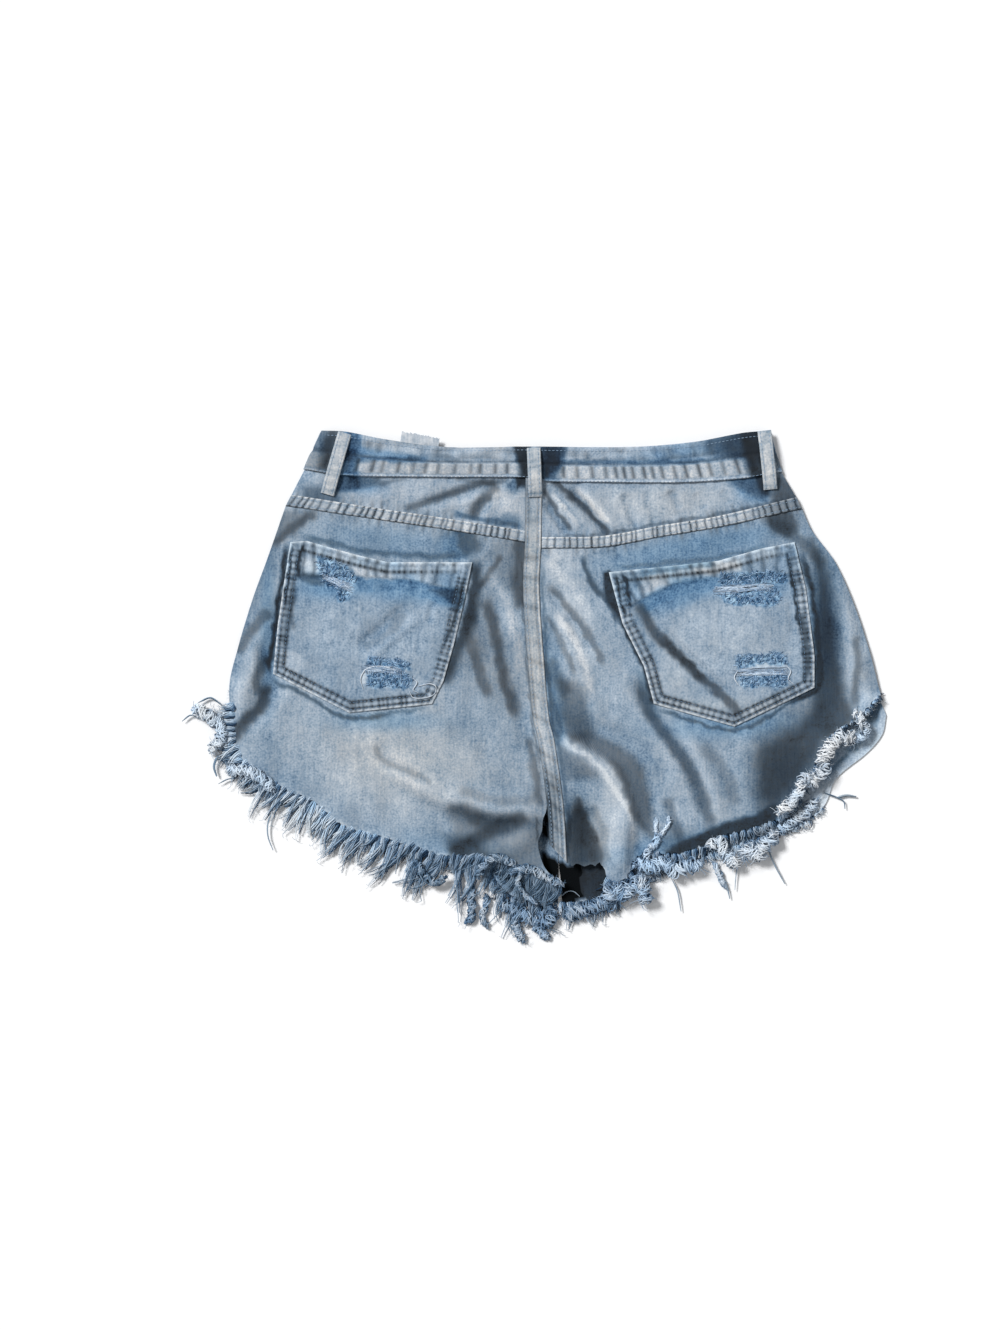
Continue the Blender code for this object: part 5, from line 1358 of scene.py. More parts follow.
# Each worn place keeps its white cross threads, and the cut ends of the blue ones lie curled round it.
pocket_threads = {"pocket_left": [], "pocket_right": []}
chance = np.random.default_rng(17)
for of_pocket, centre_x, centre_y, half_length, half_height, turn, white in RIPS:
    angle = math.radians(turn)
    for _ in range(white):
        reach = half_length + chance.uniform(0.5, 3.5)
        along = np.linspace(-reach, reach, 14) + chance.uniform(-2, 2)
        over = chance.uniform(-0.9, 0.9) * half_height + chance.uniform(-1.6, 1.6) * np.sin(
            along / chance.uniform(4, 9) + chance.uniform(0, 6))
        px = centre_x + along * math.cos(angle) - over * math.sin(angle)
        py = centre_y + along * math.sin(angle) + over * math.cos(angle)
        pz = pocket_form(of_pocket, px, py)[0] + chance.uniform(0.1, 0.7)
        points = np.stack([px, py, pz], axis=-1)
        white_thread = thread(points, chance.uniform(0.3, 0.45), chance.uniform(0.62, 0.98), 0.35)
        pocket_threads[of_pocket].append(white_thread)
for of_pocket, radius, tone, path in LOOSE_STITCHES:
    places = curve(path, np.linspace(0, 1, 36))
    height = pocket_form(of_pocket, places[:, 0], places[:, 1])[0] + 0.5
    pocket_threads[of_pocket].append(thread(np.column_stack([places, height]), radius, tone, 0.1))
for of_pocket, outline in FRAYS:
    low, high = np.min(outline, axis=0), np.max(outline, axis=0)
    for _ in range(int((high[0] - low[0]) * (high[1] - low[1]) * 0.4)):
        start = chance.uniform(low, high)
        if patch_share(start[:1], start[1:], 1.0, outline)[0] < 0.5:
            continue
        px, py = curl(start, chance.uniform(60, 120), chance.uniform(-150, 150), chance.uniform(2.0, 4.8))
        pz = pocket_form(of_pocket, px, py)[0] + 0.3 + chance.uniform(0.0, 0.6) * np.sin(np.linspace(0, math.pi, 5))
        tone = chance.choice((0.22, 0.4, 0.6, 0.8, 0.95))
        points = np.stack([px, py, pz], axis=-1)
        pocket_threads[of_pocket].append(thread(points, chance.uniform(0.22, 0.36), tone, 0.8))
for name, lines in pocket_threads.items():
    rip_threads = spun_piece(name + "_rip_threads", lines)
    sewn_to(rip_threads)
    flat, area = POCKET_CUTS[name]

# ---------------------------------------------------------------------------------------------
# The yokes are the shaped bands between the legs and the waistband. Their lower seam is felled
# and stitched twice, and it has puckered in the wash into a row of nips.
YOKE_WALL = 0.9
YOKE_GRID = 1.2
YOKE_WASH = (0.6, 0.12, 0.05)
BAND_WASH = (0.76, 0.05, 0.25)
# Creases, worn places, strokes and patches of shade, as on the legs. The dark places just left of the centre and
# right loops are painted shadows of the loops.
YOKE_CREASES = (
    (-1.1, 6, 6, ((-34, 158), (-43, 144), (-50, 130))),
    (-1.1, 6, 5, ((-16, 165), (-46, 158), (-75, 150), (-98, 144))),
    (1.0, 6, 7, ((-18, 158), (-50, 151), (-80, 143))),
    (-1.0, 7, 5, ((-152, 168), (-134, 162), (-110, 158))),
    (-1.0, 5, 5, ((-20, 164), (-13, 152))),
    (-1.8, 6, 5, ((26, 162), (45, 140), (62, 118))),
    (1.3, 6, 6, ((36, 162), (54, 142), (70, 122))),
    (-1.4, 6, 5, ((7, 152), (18, 136), (30, 118))),
    (1.0, 5, 5, ((14, 154), (28, 137), (40, 120))),
    (-1.0, 5, 5, ((22, 146), (42, 122))),
    (-1.0, 5, 5, ((72, 158), (78, 140), (82, 124))),
    (-1.0, 5, 5, ((88, 158), (94, 142), (98, 128))),
    (-0.9, 5, 5, ((109, 158), (117, 142))),
    (-0.8, 5, 5, ((129, 156), (137, 142))),
    (-0.7, 5, 5, ((150, 158), (156, 146))),
    (-0.7, 5, 5, ((-118, 150), (-112, 138))),
)
YOKE_SPOTS = (
    (-140, 163, 20, 8, -10, -0.12, 1.0, 0.0),
    (176, 158, 16, 12, 0, -0.12, 1.0, 0.0),
    (90, 146, 70, 18, 4, 0.08, -0.05, 0.35),
    (-16, 161, 8, 8, 0, -0.25, 0.3, 0.2),
)
YOKE_SHADES = (
    (0.55, 0.1, 0.0, 4, 6, ((-22, 165), (-41, 163), (-57, 158), (-75, 151), (-92, 145), (-108, 139))),
    (0.65, 0.0, 0.0, 5, 8, ((-26, 164), (-38, 151), (-50, 135))),
    (0.4, 0.0, 0.0, 3, 3, ((-66, 167), (-38, 164), (-18, 166))),
    (0.45, 0.9, -0.1, 3, 3, ((-66, 139), (-22, 131), (-7, 127))),
    (0.78, 0.0, 0.0, 3, 5, ((12, 166), (26, 156), (40, 144), (54, 130), (62, 120))),
    (0.62, 0.0, 0.0, 3, 4, ((8, 160), (18, 142), (32, 124))),
    (0.0, -0.1, 0.2, 3, 3, ((13, 158), (26, 142), (38, 126))),
    (0.0, -0.1, 0.2, 5, 4, ((32, 160), (46, 146), (60, 130))),
    (0.5, 0.3, 0.0, 2.5, 2.5, ((4, 120), (55, 122), (100, 130), (148, 138), (212, 152))),
)
YOKE_PATCHES = (
    (0.04, -0.1, 0.03, 8, ((-190, 166), (-130, 160), (-10, 160), (-8, 128), (-80, 136), (-190, 150))),
    (0.0, 0.0, 0.05, 8, ((30, 160), (120, 158), (180, 156), (150, 142), (60, 128))),
    (0.4, 0.2, 0.0, 1.5, ((-142, 168), (-118, 166), (-98, 166), (-118, 162), (-140, 158))),
    (0.93, 0.0, -0.2, 2, ((-14, 170), (-5, 170), (-5, 158), (-9, 161), (-14, 158))),
    (0.0, -0.1, 0.16, 5, ((-34, 158), (-20, 157), (-9, 151), (-9, 140), (-30, 142))),
    (0.5, 0.5, -0.12, 4, ((-186, 162), (-158, 160), (-156, 147), (-182, 149))),
    (0.4, 0.8, -0.3, 3, ((-158, 170), (-142, 170), (-140, 160), (-154, 156), (-160, 160))),
    (0.35, 0.7, 0.0, 3, ((-24, 138), (-14, 136), (-9, 130), (-24, 131))),
    (0.45, 0.8, -0.22, 4, ((154, 166), (184, 170), (185, 150), (170, 154))),
    (0.8, 0.2, -0.1, 3, ((176, 172), (186, 172), (188, 152), (180, 156))),
    (0.75, 0.1, 0.0, 5, ((190, 168), (202, 168), (212, 146), (190, 146))),
)
# Worn places of the seam bands, and painted shade at their two ends: x, y, reach x, reach y, turn, fade, indigo,
# warmth, painted shade
BAND_SPOTS = (
    (-100, 135, 110, 12, -8, 0.06, 0.0, 0.3),
    (110, 128, 110, 14, 8, 0.06, 0.0, 0.3),
    (-196, 149, 16, 14, 0, -0.06, 0.1, 0.0, 0.3),
    (200, 144, 26, 14, 0, -0.1, 0.1, 0.0, 0.45),
)
BAND_ACROSS = np.array([0.0, 0.06, 0.13, 0.22, 0.33, 0.45, 0.57, 0.68, 0.78, 0.87, 0.94, 1.0])


def yoke_form(x, y):
    """A yoke's upper face above its seam band."""
    puckers, away, _ = yoke_nips(x, y, 8.0, 1.5)
    form = back_form(x, y) + LEG_LIFT + folds_at(x, y, YOKE_CREASES)
    form -= 0.6 * puckers * smooth(1 - (away - 8) / 12)
    waist_away, _, waist_run = beside(x, y, waist_points)
    form -= 0.5 * nips(waist_run, 10.0, 24, 2.0) * smooth(1 - waist_away / 10)
    form += 0.22 * rumple(x, y, 11, 13, 12) + 0.14 * rumple(x, y, 4, 6, 13) + 0.06 * rumple(x, y, 2, 3, 14)
    return form


def seam_band(node, lower, upper, seed):
    """The felled seam under a yoke, from its upper edge to its lower one."""
    x, y = patch(upper, lower, (upper[0], lower[0]), (upper[-1], lower[-1]), shares_of(lower, 1.0), BAND_ACROSS)
    run = lengths_of(np.stack([x[-1], y[-1]], axis=1))[None, :] + 0 * x
    across = BAND_ACROSS[:, None] + 0 * x
    width = 1.05 if node == "yoke_left" else 0.8
    puckers = nips(run + across + 0.5 * rumple(x, y, 5, 3, seed), 5.6, seed, width, 0.55)
    edges = inside_ends(across, 0.08)
    grooves = bell(across, 0.24, 0.08) + bell(across, 0.78, 0.08)
    form = softened(back_form(x, y) + SEAM_LIFT + 0.5 * folds_at(x, y, YOKE_CREASES + LEG_CREASES), 2)
    form += 0.35 + 0.9 * edges - 0.3 * grooves - 1.1 * puckers * (0.4 + 0.6 * edges)
    wash = spots_at(x, y, BAND_SPOTS) + even_wash(x, *BAND_WASH)
    # The band's upper edge is paler, partly rubbed and partly painted light; painted shade lies in its nips, in
    # broad stretches spaced along it and along its lower edge, and the nips lose their warmth
    wash[..., 0] += 0.25 * bell(across, 0, 0.07) - 0.2 * puckers - 0.1 * grooves
    wash[..., 0] += 0.1 * rumple(x, y, 6, 30, 15)
    between = nips(run, 23.0, seed + 5, 6.0)
    wash[..., 3] += 0.97 * puckers + 0.25 * between + 0.5 * bell(across, 1, 0.08)
    wash[..., 3] = np.clip(wash[..., 3], 0, 0.96)
    wash[..., 2] *= 1 - puckers
    stitch_rows.extend((node, np.stack([x, y, form], axis=-1)[row, 3:-3]) for row in (3, 8))
    return shell(x, y, form, SEAM_WALL, wash)


yoke_denim = denim("yoke_denim", (0.56, 0.8, 1.0, 1))
left_band, right_band = (moved(seam, 0, YOKE_BAND - 1) for seam in (YOKE_SEAM_LEFT, YOKE_SEAM_RIGHT))
left_waist = moved((*[p for p in waist_points if p[0] < -9], (-5.8, 167.3)), 0, 1.2)
right_waist = moved(((5.8, 165.8), *[p for p in waist_points if p[0] > 11]), 0, 1.2)
left_lines = (left_waist, (part_of(LEFT_SIDE, 190, left_band[0][1])[-1], *left_band[1:]),
              part_of(LEFT_SIDE, left_waist[0][1], left_band[0][1]), ((-5.8, 168.5), left_band[-1]))
right_lines = (right_waist, (*right_band[:-1], part_of(RIGHT_SIDE, 190, right_band[-1][1])[-1]),
               (right_waist[0], right_band[0]), part_of(RIGHT_SIDE, right_waist[-1][1], right_band[-1][1]))
left_upper = ((float(x_at(LEFT_SIDE, 154)), 154), *moved(YOKE_SEAM_LEFT, 0, YOKE_BAND)[1:])
right_upper = (*moved(YOKE_SEAM_RIGHT, 0, YOKE_BAND)[:-1], (float(x_at(RIGHT_SIDE, 152)), 152))
# The yokes: node, edges, lower and upper edge of the seam band, seed, what the cloth was cut to, its area
yoke_rows = (
    ("yoke_left", left_lines, (YOKE_SEAM_LEFT, left_upper), 32, (0.192, 0.06), 0.0075),
    ("yoke_right", right_lines, (YOKE_SEAM_RIGHT, right_upper), 33, (0.227, 0.06), 0.0095),
)
for name, lines, seam, seed, flat, area in yoke_rows:
    x, y = patch(*lines, shares_of(lines[1], YOKE_GRID), np.linspace(0, 1, 34))
    form = yoke_form(x, y)
    wash = shaded(x, y, wash_of(x, y, form, YOKE_SPOTS, YOKE_WASH), YOKE_SHADES, YOKE_PATCHES)
    shells = [shell(x, y, form, YOKE_WALL, wash), seam_band(name, *seam, seed)]
    if name == "yoke_right":
        strip_top = part_of(CENTRE_LINE, 168, SEAM_STRIP_TOP)
        strip_edges = (moved(strip_top, -half_strip, 0), moved(strip_top, half_strip, 0))
        shells.append(centre_strip(name, strip_edges, shares_of(strip_top, STRIP_GRID), 34))
    yoke_piece = cloth_piece(name + "_cloth", shells, yoke_denim)
    stands_for(yoke_piece, name)

# ---------------------------------------------------------------------------------------------
# The waistband is one long strip folded lengthwise, sewn round the waist and pressed flat: its
# ends lap and button at the front, underneath. Its lower half has puckered along the stitching.
WAIST_TOP = ((-169, 205), (-151, 204), (-120, 198), (-75, 192), (-5, 192), (85, 192), (130, 196), (168, 203),
             (188, 205))
WAIST_INSET = 1.7
WAIST_LIFT = 2.5
WAIST_RUN = 385
WAIST_WASH = (0.58, 0.1, 0.05)
LAP_ENDS = (20.0, -14.0)
BAND_WALL = 1.3
# Points of each row across the back, and under the front on each side, and how far round the turns between them
BACK_POINTS = 340
FRONT_POINTS = 60
TURN_SHARES = (0.12, 0.3, 0.5, 0.7, 0.88)
WAIST_STITCH_ROWS = (4, 27)
WAIST_STITCH_START = 70
# Worn places, strokes and patches of shade, and creases, as on the legs. The dark spots and patches on both sides
# of the belt loops are painted shadows of the loops, with unfaded blue beside them.
WAIST_SPOTS = (
    (-146, 187, 9, 22, 0, -0.14, 1.0, 0.0),
    (-120, 186, 40, 4, -8, -0.08, 0.9, 0.0),
    (14, 181, 9, 20, 0, -0.34, 0.6, 0.0),
    (120, 188, 50, 10, 10, -0.08, 0.6, 0.0),
    (174, 190, 8, 20, 0, -0.38, 0.6, 0.0),
    (-166, 190, 9, 22, 0, -0.36, 0.1, 0.3),
    (194, 190, 9, 20, 0, -0.2, 0.2, 0.2),
    (-9, 184, 6, 16, 0, -0.34, 0.2, 0.1),
)
WAIST_SHADES = (
    (0.2, 0.8, -0.2, 4, 4, ((-158, 183), (-130, 182), (-104, 181), (-84, 181))),
    (0.3, 0.3, 0.0, 3.5, 3.5, ((-104, 181), (-80, 184), (-58, 181))),
    (0.3, 0.6, -0.1, 3, 3, ((8, 179), (70, 180), (130, 180), (156, 183))),
)
WAIST_PATCHES = (
    (0.4, 0.0, 0.0, 4, ((-186, 172), (-172, 208), (-157, 208), (-165, 172))),
    (0.72, 0.0, 0.0, 4, ((-172, 174), (-162, 208), (-152, 208), (-160, 172))),
    (0.2, 0.8, -0.28, 3, ((-157, 160), (-148, 206), (-138, 206), (-142, 178), (-141, 163))),
    (0.93, 0.0, -0.2, 3, ((-17, 196), (-3, 196), (-3, 162), (-9, 164), (-13, 180))),
    (0.7, 0.7, -0.3, 4, ((4, 196), (24, 195), (23, 180), (14, 166), (4, 163))),
    (0.94, 0.2, -0.2, 4, ((164, 208), (184, 208), (187, 162), (174, 162), (169, 180))),
    (0.5, 0.4, -0.15, 5, ((136, 203), (166, 206), (166, 184), (140, 186))),
    (0.45, 0.4, -0.1, 5, ((150, 197), (172, 206), (172, 184), (156, 184))),
    (0.15, 0.0, 0.1, 5, ((-72, 195), (-24, 195), (-20, 188), (-60, 186))),
    (0.16, 0.0, 0.0, 4, ((-140, 180), (-12, 178), (-12, 168), (-140, 170))),
)
WAIST_CREASES = (
    (-1.2, 4, 4, ((-84, 186), (-60, 190), (-30, 192))),
    (-1.0, 4, 3, ((-10, 180), (-40, 182), (-66, 181))),
    (-1.2, 4, 4, ((20, 178), (60, 180), (110, 181), (160, 188))),
    (-0.9, 3, 3, ((70, 190), (76, 182))),
    (-0.9, 3, 3, ((96, 192), (100, 184))),
    (-0.9, 3, 3, ((126, 194), (132, 186))),
)


def waist_wash(x, y, up, run, lower_half, puckers, soft_puckers):
    """The waistband's wash along one row: pale and puckered below, with painted shade between the puckers and along
    the middle, and blue above with streaks of painted shade.
    """
    wash = spots_at(x, y, WAIST_SPOTS) + even_wash(x, *WAIST_WASH)
    wash = shaded(x, y, wash, WAIST_SHADES, WAIST_PATCHES)
    wash[:, 0] += 0.18 * lower_half - 0.1 * puckers - 0.05 * soft_puckers
    # Painted shade between the puckers, along the middle line and in streaks above it
    line = bell(up, 0.5, 0.04) * (0.7 + 0.3 * rumple(x, y, 9, 9, 55))
    over = smooth((up - 0.55) / 0.1)
    streak_shade = over * (0.3 * soft_puckers + 0.22 * (rumple(x + 12 * up, y, 13, 5, 56) + 0.3))
    streak_shade += 0.3 * smooth((up - 0.9) / 0.1) * nips(run, 7.0, 57, 1.4)
    wash[:, 3] = 1 - (1 - wash[:, 3]) * (1 - 0.8 * puckers) * (1 - 0.7 * line) * (1 - np.clip(streak_shade, 0, 0.8))
    wash[:, 0] += 0.1 * over
    wash[:, 1] -= 0.25 * lower_half
    wash[:, 2] += 0.25 * lower_half
    wash[:, 0] += 0.4 * bell(up, 0.02, 0.025) * (0.75 + 0.5 * rumple(x, y, 5, 5, 58))
    wash[:, 0] += 0.07 * rumple(x, y, 7, 9, 54)
    return wash


def waist_loop(up):
    """A row of the waistband, a share of the way up it: points and wash, from its under end to its upper one."""
    share = np.linspace(0, 1, BACK_POINTS)
    low, high = curve(WAIST_SEAM, share), curve(WAIST_TOP, share)
    x = low[:, 0] + (high[:, 0] - low[:, 0]) * up + WAIST_INSET * (1 - 2 * share)
    y = low[:, 1] + (high[:, 1] - low[:, 1]) * up
    run = share * WAIST_RUN
    lower_half = smooth((0.47 - up) / 0.06) * smooth((up - 0.07) / 0.05)
    puckers = nips(run + 3 * up, 10.5, 51, 1.9, 0.5) * lower_half
    soft_puckers = nips(run + 6 * up, 15.0, 52, 3.4) * smooth((up - 0.55) / 0.1) * smooth((1 - up) / 0.2)
    form = back_form(x, y) + WAIST_LIFT + folds_at(x, y, WAIST_CREASES)
    form += 0.6 * lower_half - 1.3 * puckers - 1.0 * soft_puckers + 0.35 * rumple(x, y, 8, 5, 53)
    form -= 0.9 * bell(up, 0.5, 0.05) + 0.5 * smooth((up - 0.94) / 0.06)
    form += 0.3 * bell(up, 0.03, 0.04)
    wash = waist_wash(x, y, up, run, lower_half, puckers, soft_puckers)
    low_form = under_lift(x, y) + BAND_WALL / 2
    fronts = []
    for start, end, over in ((LAP_ENDS[0], x[0], 0.0), (x[-1], LAP_ENDS[1], 1.7)):
        front_x = np.linspace(start, end, FRONT_POINTS)
        lift = over * smooth((44 - front_x) / 20)
        fronts.append((front_x, np.interp(front_x, x, y), np.interp(front_x, x, low_form) + lift))
    turns = []
    for end, outward, shares in ((0, -1, TURN_SHARES), (-1, 1, TURN_SHARES[::-1])):
        radius = (form[end] - low_form[end]) / 2
        angle = math.pi * np.array(shares)
        turn_z = low_form[end] + radius * (1 - np.cos(angle))
        turns.append((x[end] + outward * radius * np.sin(angle), np.full(angle.shape, y[end]), turn_z))
    runs = (fronts[0], turns[0], (x, y, form), turns[1], fronts[1])
    joined = [np.concatenate([part[axis] for part in runs]) for axis in range(3)]
    beyond = FRONT_POINTS + len(TURN_SHARES)
    return np.stack(joined, axis=1), np.pad(wash, ((beyond, beyond), (0, 0)), mode="edge")


waist_rows = np.concatenate([[0.004, 0.02, 0.04, 0.07], np.linspace(0.1, 0.93, 22), [0.96, 0.985, 1.0]])
points, wash = (np.stack(part) for part in zip(*[waist_loop(up) for up in waist_rows[::-1]]))
for row in WAIST_STITCH_ROWS:
    stitches = points[row, WAIST_STITCH_START:-WAIST_STITCH_START]
    stitch_rows.append(("waistband", stitches + np.array((0, 0, BAND_WALL / 2))))
waist_shell = (points.reshape(-1, 3), grid_faces(points.shape[:2]), wash.reshape(-1, 4))
waist_denim = denim("waist_denim", (0.54, 0.79, 1.0, 1))
waistband_cloth = cloth_piece("waistband_cloth", [waist_shell], waist_denim)
wall = waistband_cloth.modifiers.new("wall", "SOLIDIFY")
wall.thickness = BAND_WALL * MM
wall.offset = 0.0
stands_for(waistband_cloth, "waistband")

# ---------------------------------------------------------------------------------------------
# The label is a short length of blank woven tape, caught in the seam inside the back of the
# waistband. Only its frayed top edge stands over the band.
LABEL_CORNERS = ((-105, 204.5), (-75, 199), (-108, 186), (-78, 180.5))
LABEL_WALL = 0.5
LABEL_WASH = (0.84, 0.0, 0.25)
upper_left, upper_right, lower_left, lower_right = LABEL_CORNERS
label_lines = ((upper_left, upper_right), (lower_left, lower_right), (upper_left, lower_left),
               (upper_right, lower_right))
x, y = patch(*label_lines, np.linspace(0, 1, 40), np.linspace(0, 1, 28))
y[0] += np.random.default_rng(5).uniform(-0.8, 0.5, x.shape[1])
form = back_form(x, y) - 0.1 + 0.3 * rumple(x, y, 5, 4, 2)
wash = even_wash(x, *LABEL_WASH)
wash[..., 0] += 0.1 * rumple(x, y, 1.5, 6, 5)
tape = denim("label_tape", (0.6, 0.75, 1.0, 1), coarse=0.5)
label_cloth = cloth_piece("label_tape", [shell(x, y, form, LABEL_WALL, wash)], tape)
stands_for(label_cloth, "label")

# ---------------------------------------------------------------------------------------------
# The three back belt loops are folded strips of the same denim, rubbed almost white. Each end is
# turned under and tacked across, and the strip stands clear of the waistband between them.
LOOP_ARCH = 3.2
# The back loops: name, top, bottom, height of their ends over the cloth form
BACK_LOOPS = (
    ("loop_back_left", (-150.5, 203), (-164.5, 154), 2.1),
    ("loop_centre", (0.0, 191), (1.5, 152), 3.0),
    ("loop_back_right", (184.0, 205), (189.0, 158), 2.1),
)


def over_back(lift):
    """The underside of a loop: clear of the highest cloth across its width, and arched between its ends."""
    def underside(x, y, share):
        left, right = x[:, :1] + 0 * x, x[:, -1:] + 0 * x
        highest = np.maximum(back_form((left + right) / 2, y), np.maximum(back_form(left, y), back_form(right, y)))
        return highest + lift + LOOP_ARCH * np.clip(np.sin(math.pi * share), 0, 1) ** 0.7
    return underside


for name, top, bottom, lift in BACK_LOOPS:
    loop = loop_cloth(name, top, bottom, over_back(lift), loop_denim, 82 + len(name))
    stands_for(loop, name)

# ---------------------------------------------------------------------------------------------
# Cotton stitches hold the seams: two rows on the felled seams and round the pockets, one along each edge of the
# waistband and two down each back loop. They have faded with the cloth.
STITCH_PITCH = 3.1
STITCH_SIZE = (0.26, 0.26, 1.15)
STITCH_RISE = 0.12
POCKET_STITCH_INSETS = (2.4, 7.7)


def stitch_tree():
    """A node tree that lays short stitches end to end along lines."""
    inputs = {"Lines": "Geometry", "Pitch": "Float", "Size": "Vector", "Finish": "Material"}
    tree, given = new_tree("stitches", inputs)
    lines = add_node(tree, "GeometryNodeMeshToCurve", {"Mesh": given["Lines"]}).outputs[0]
    even = add_node(tree, "GeometryNodeResampleCurve", {"Curve": lines, "Length": given["Pitch"]}, mode="LENGTH")
    along = add_node(tree, "GeometryNodeInputTangent", {}).outputs[0]
    turned = add_node(tree, "FunctionNodeAlignRotationToVector", {"Vector": along}, axis="Z").outputs[0]
    bead = add_node(tree, "GeometryNodeMeshUVSphere", {"Segments": 6, "Rings": 4, "Radius": 1.0}).outputs[0]
    laid = add_node(tree, "GeometryNodeInstanceOnPoints", {"Points": even.outputs[0], "Instance": bead,
                                                           "Rotation": turned, "Scale": given["Size"]})
    return close_tree(tree, laid.outputs[0], given["Finish"])


def inset_line(line, inset):
    """A closed outline moved in, its corners kept, for an outline that runs anticlockwise."""
    corners = np.array(line[:-1] if line[0] == line[-1] else line, float)
    ahead = np.roll(corners, -1, axis=0) - corners
    ahead /= np.hypot(ahead[:, 0], ahead[:, 1])[:, None]
    normal = np.stack([-ahead[:, 1], ahead[:, 0]], axis=1)
    before = np.roll(normal, 1, axis=0)
    return corners + inset * (normal + before) / (1 + np.sum(normal * before, axis=1))[:, None]


for name, lines in POCKET_LINES.items():
    sides = len(lines[2]) + len(lines[1]) + len(lines[3]) - 2
    for inset in POCKET_STITCH_INSETS:
        drawn = inset_line(outline_of(lines), inset)[:sides]
        places = straight(drawn, np.linspace(0.012, 0.988, 240))
        height = pocket_form(name, places[:, 0], places[:, 1])[0]
        stitch_rows.append((name, np.column_stack([places, height])))
stitches_tree = stitch_tree()
sizes = {"Pitch": STITCH_PITCH * MM, "Size": tuple(size * MM for size in STITCH_SIZE), "Finish": yarn}
for node in sorted({row[0] for row in stitch_rows}):
    tone = 0.4 if node in POCKET_LINES else 0.6
    rows = [points + np.array((0, 0, STITCH_RISE)) for of_node, points in stitch_rows if of_node == node]
    drawn = [thread(points, 0.3, tone, 0.4, 0.1) for points in rows]
    name = node + "_stitches"
    sewn_to(evaluated_piece(name, lines_object(name, drawn), stitches_tree, sizes))

# ---------------------------------------------------------------------------------------------
# The frayed hems are what is left of the cut legs: the weft has dropped out of the last inch, and
# the loose warp yarns have twisted into locks that lean, curl and hang over one another.
LOCK_YARNS = 9
LOCK_POINTS = 8
LOCK_HAIRS = 4
ROLL_YARNS = 11
ROLL_POINTS = 400
STRAY_POINTS = 14
STRAY_RISE = 1.2
LEAST_LOCK = 3
FRINGE_LEAST_Z = 0.7
# Along each hem: share of its run, length of the locks, their heading in degrees from +X, and how pale they are
FRINGE_BACK_LEFT = ((0.0, 10, 190, 0.95), (0.03, 20, 180, 0.95), (0.08, 20, 200, 0.95), (0.13, 26, 212, 1.0),
                    (0.2, 30, 226, 1.15), (0.3, 34, 233, 1.3), (0.45, 35, 236, 1.35), (0.55, 40, 237, 1.0),
                    (0.64, 46, 240, 0.6), (0.76, 52, 246, 0.55), (0.8, 34, 250, 0.5), (0.85, 28, 254, 0.45),
                    (0.9, 34, 258, 0.4), (1.0, 28, 262, 0.45))
FRINGE_BACK_RIGHT = ((0.0, 20, 262, 0.8), (0.06, 20, 268, 0.85), (0.2, 17, 275, 0.9), (0.4, 13, 285, 0.95),
                     (0.55, 11, 300, 1.0), (0.65, 9, 318, 1.0), (0.8, 8, 322, 1.0), (1.0, 7, 318, 1.0))
FRINGE_FRONT_LEFT = ((0.0, 6, 190, 1.0), (0.15, 8, 215, 1.0), (0.7, 9, 240, 0.7), (0.8, 8, 250, 0.5),
                     (0.86, 20, 256, 0.5), (0.9, 34, 262, 0.5), (0.95, 34, 264, 0.5), (1.0, 30, 268, 0.6))
FRINGE_FRONT_RIGHT = ((0.0, 24, 270, 0.7), (0.12, 20, 274, 0.8), (0.18, 12, 276, 0.9), (0.24, 7, 278, 0.9),
                      (0.32, 7, 280, 0.9), (0.42, 11, 285, 1.0), (0.6, 9, 295, 1.0), (0.68, 7, 310, 1.0),
                      (0.72, 2, 320, 1.0), (1.0, 2, 340, 1.0))


def table_at(rows, share):
    """A table's values between its rows."""
    rows = np.array(rows, float)
    return [float(np.interp(share, rows[:, 0], rows[:, column])) for column in range(1, rows.shape[1])]


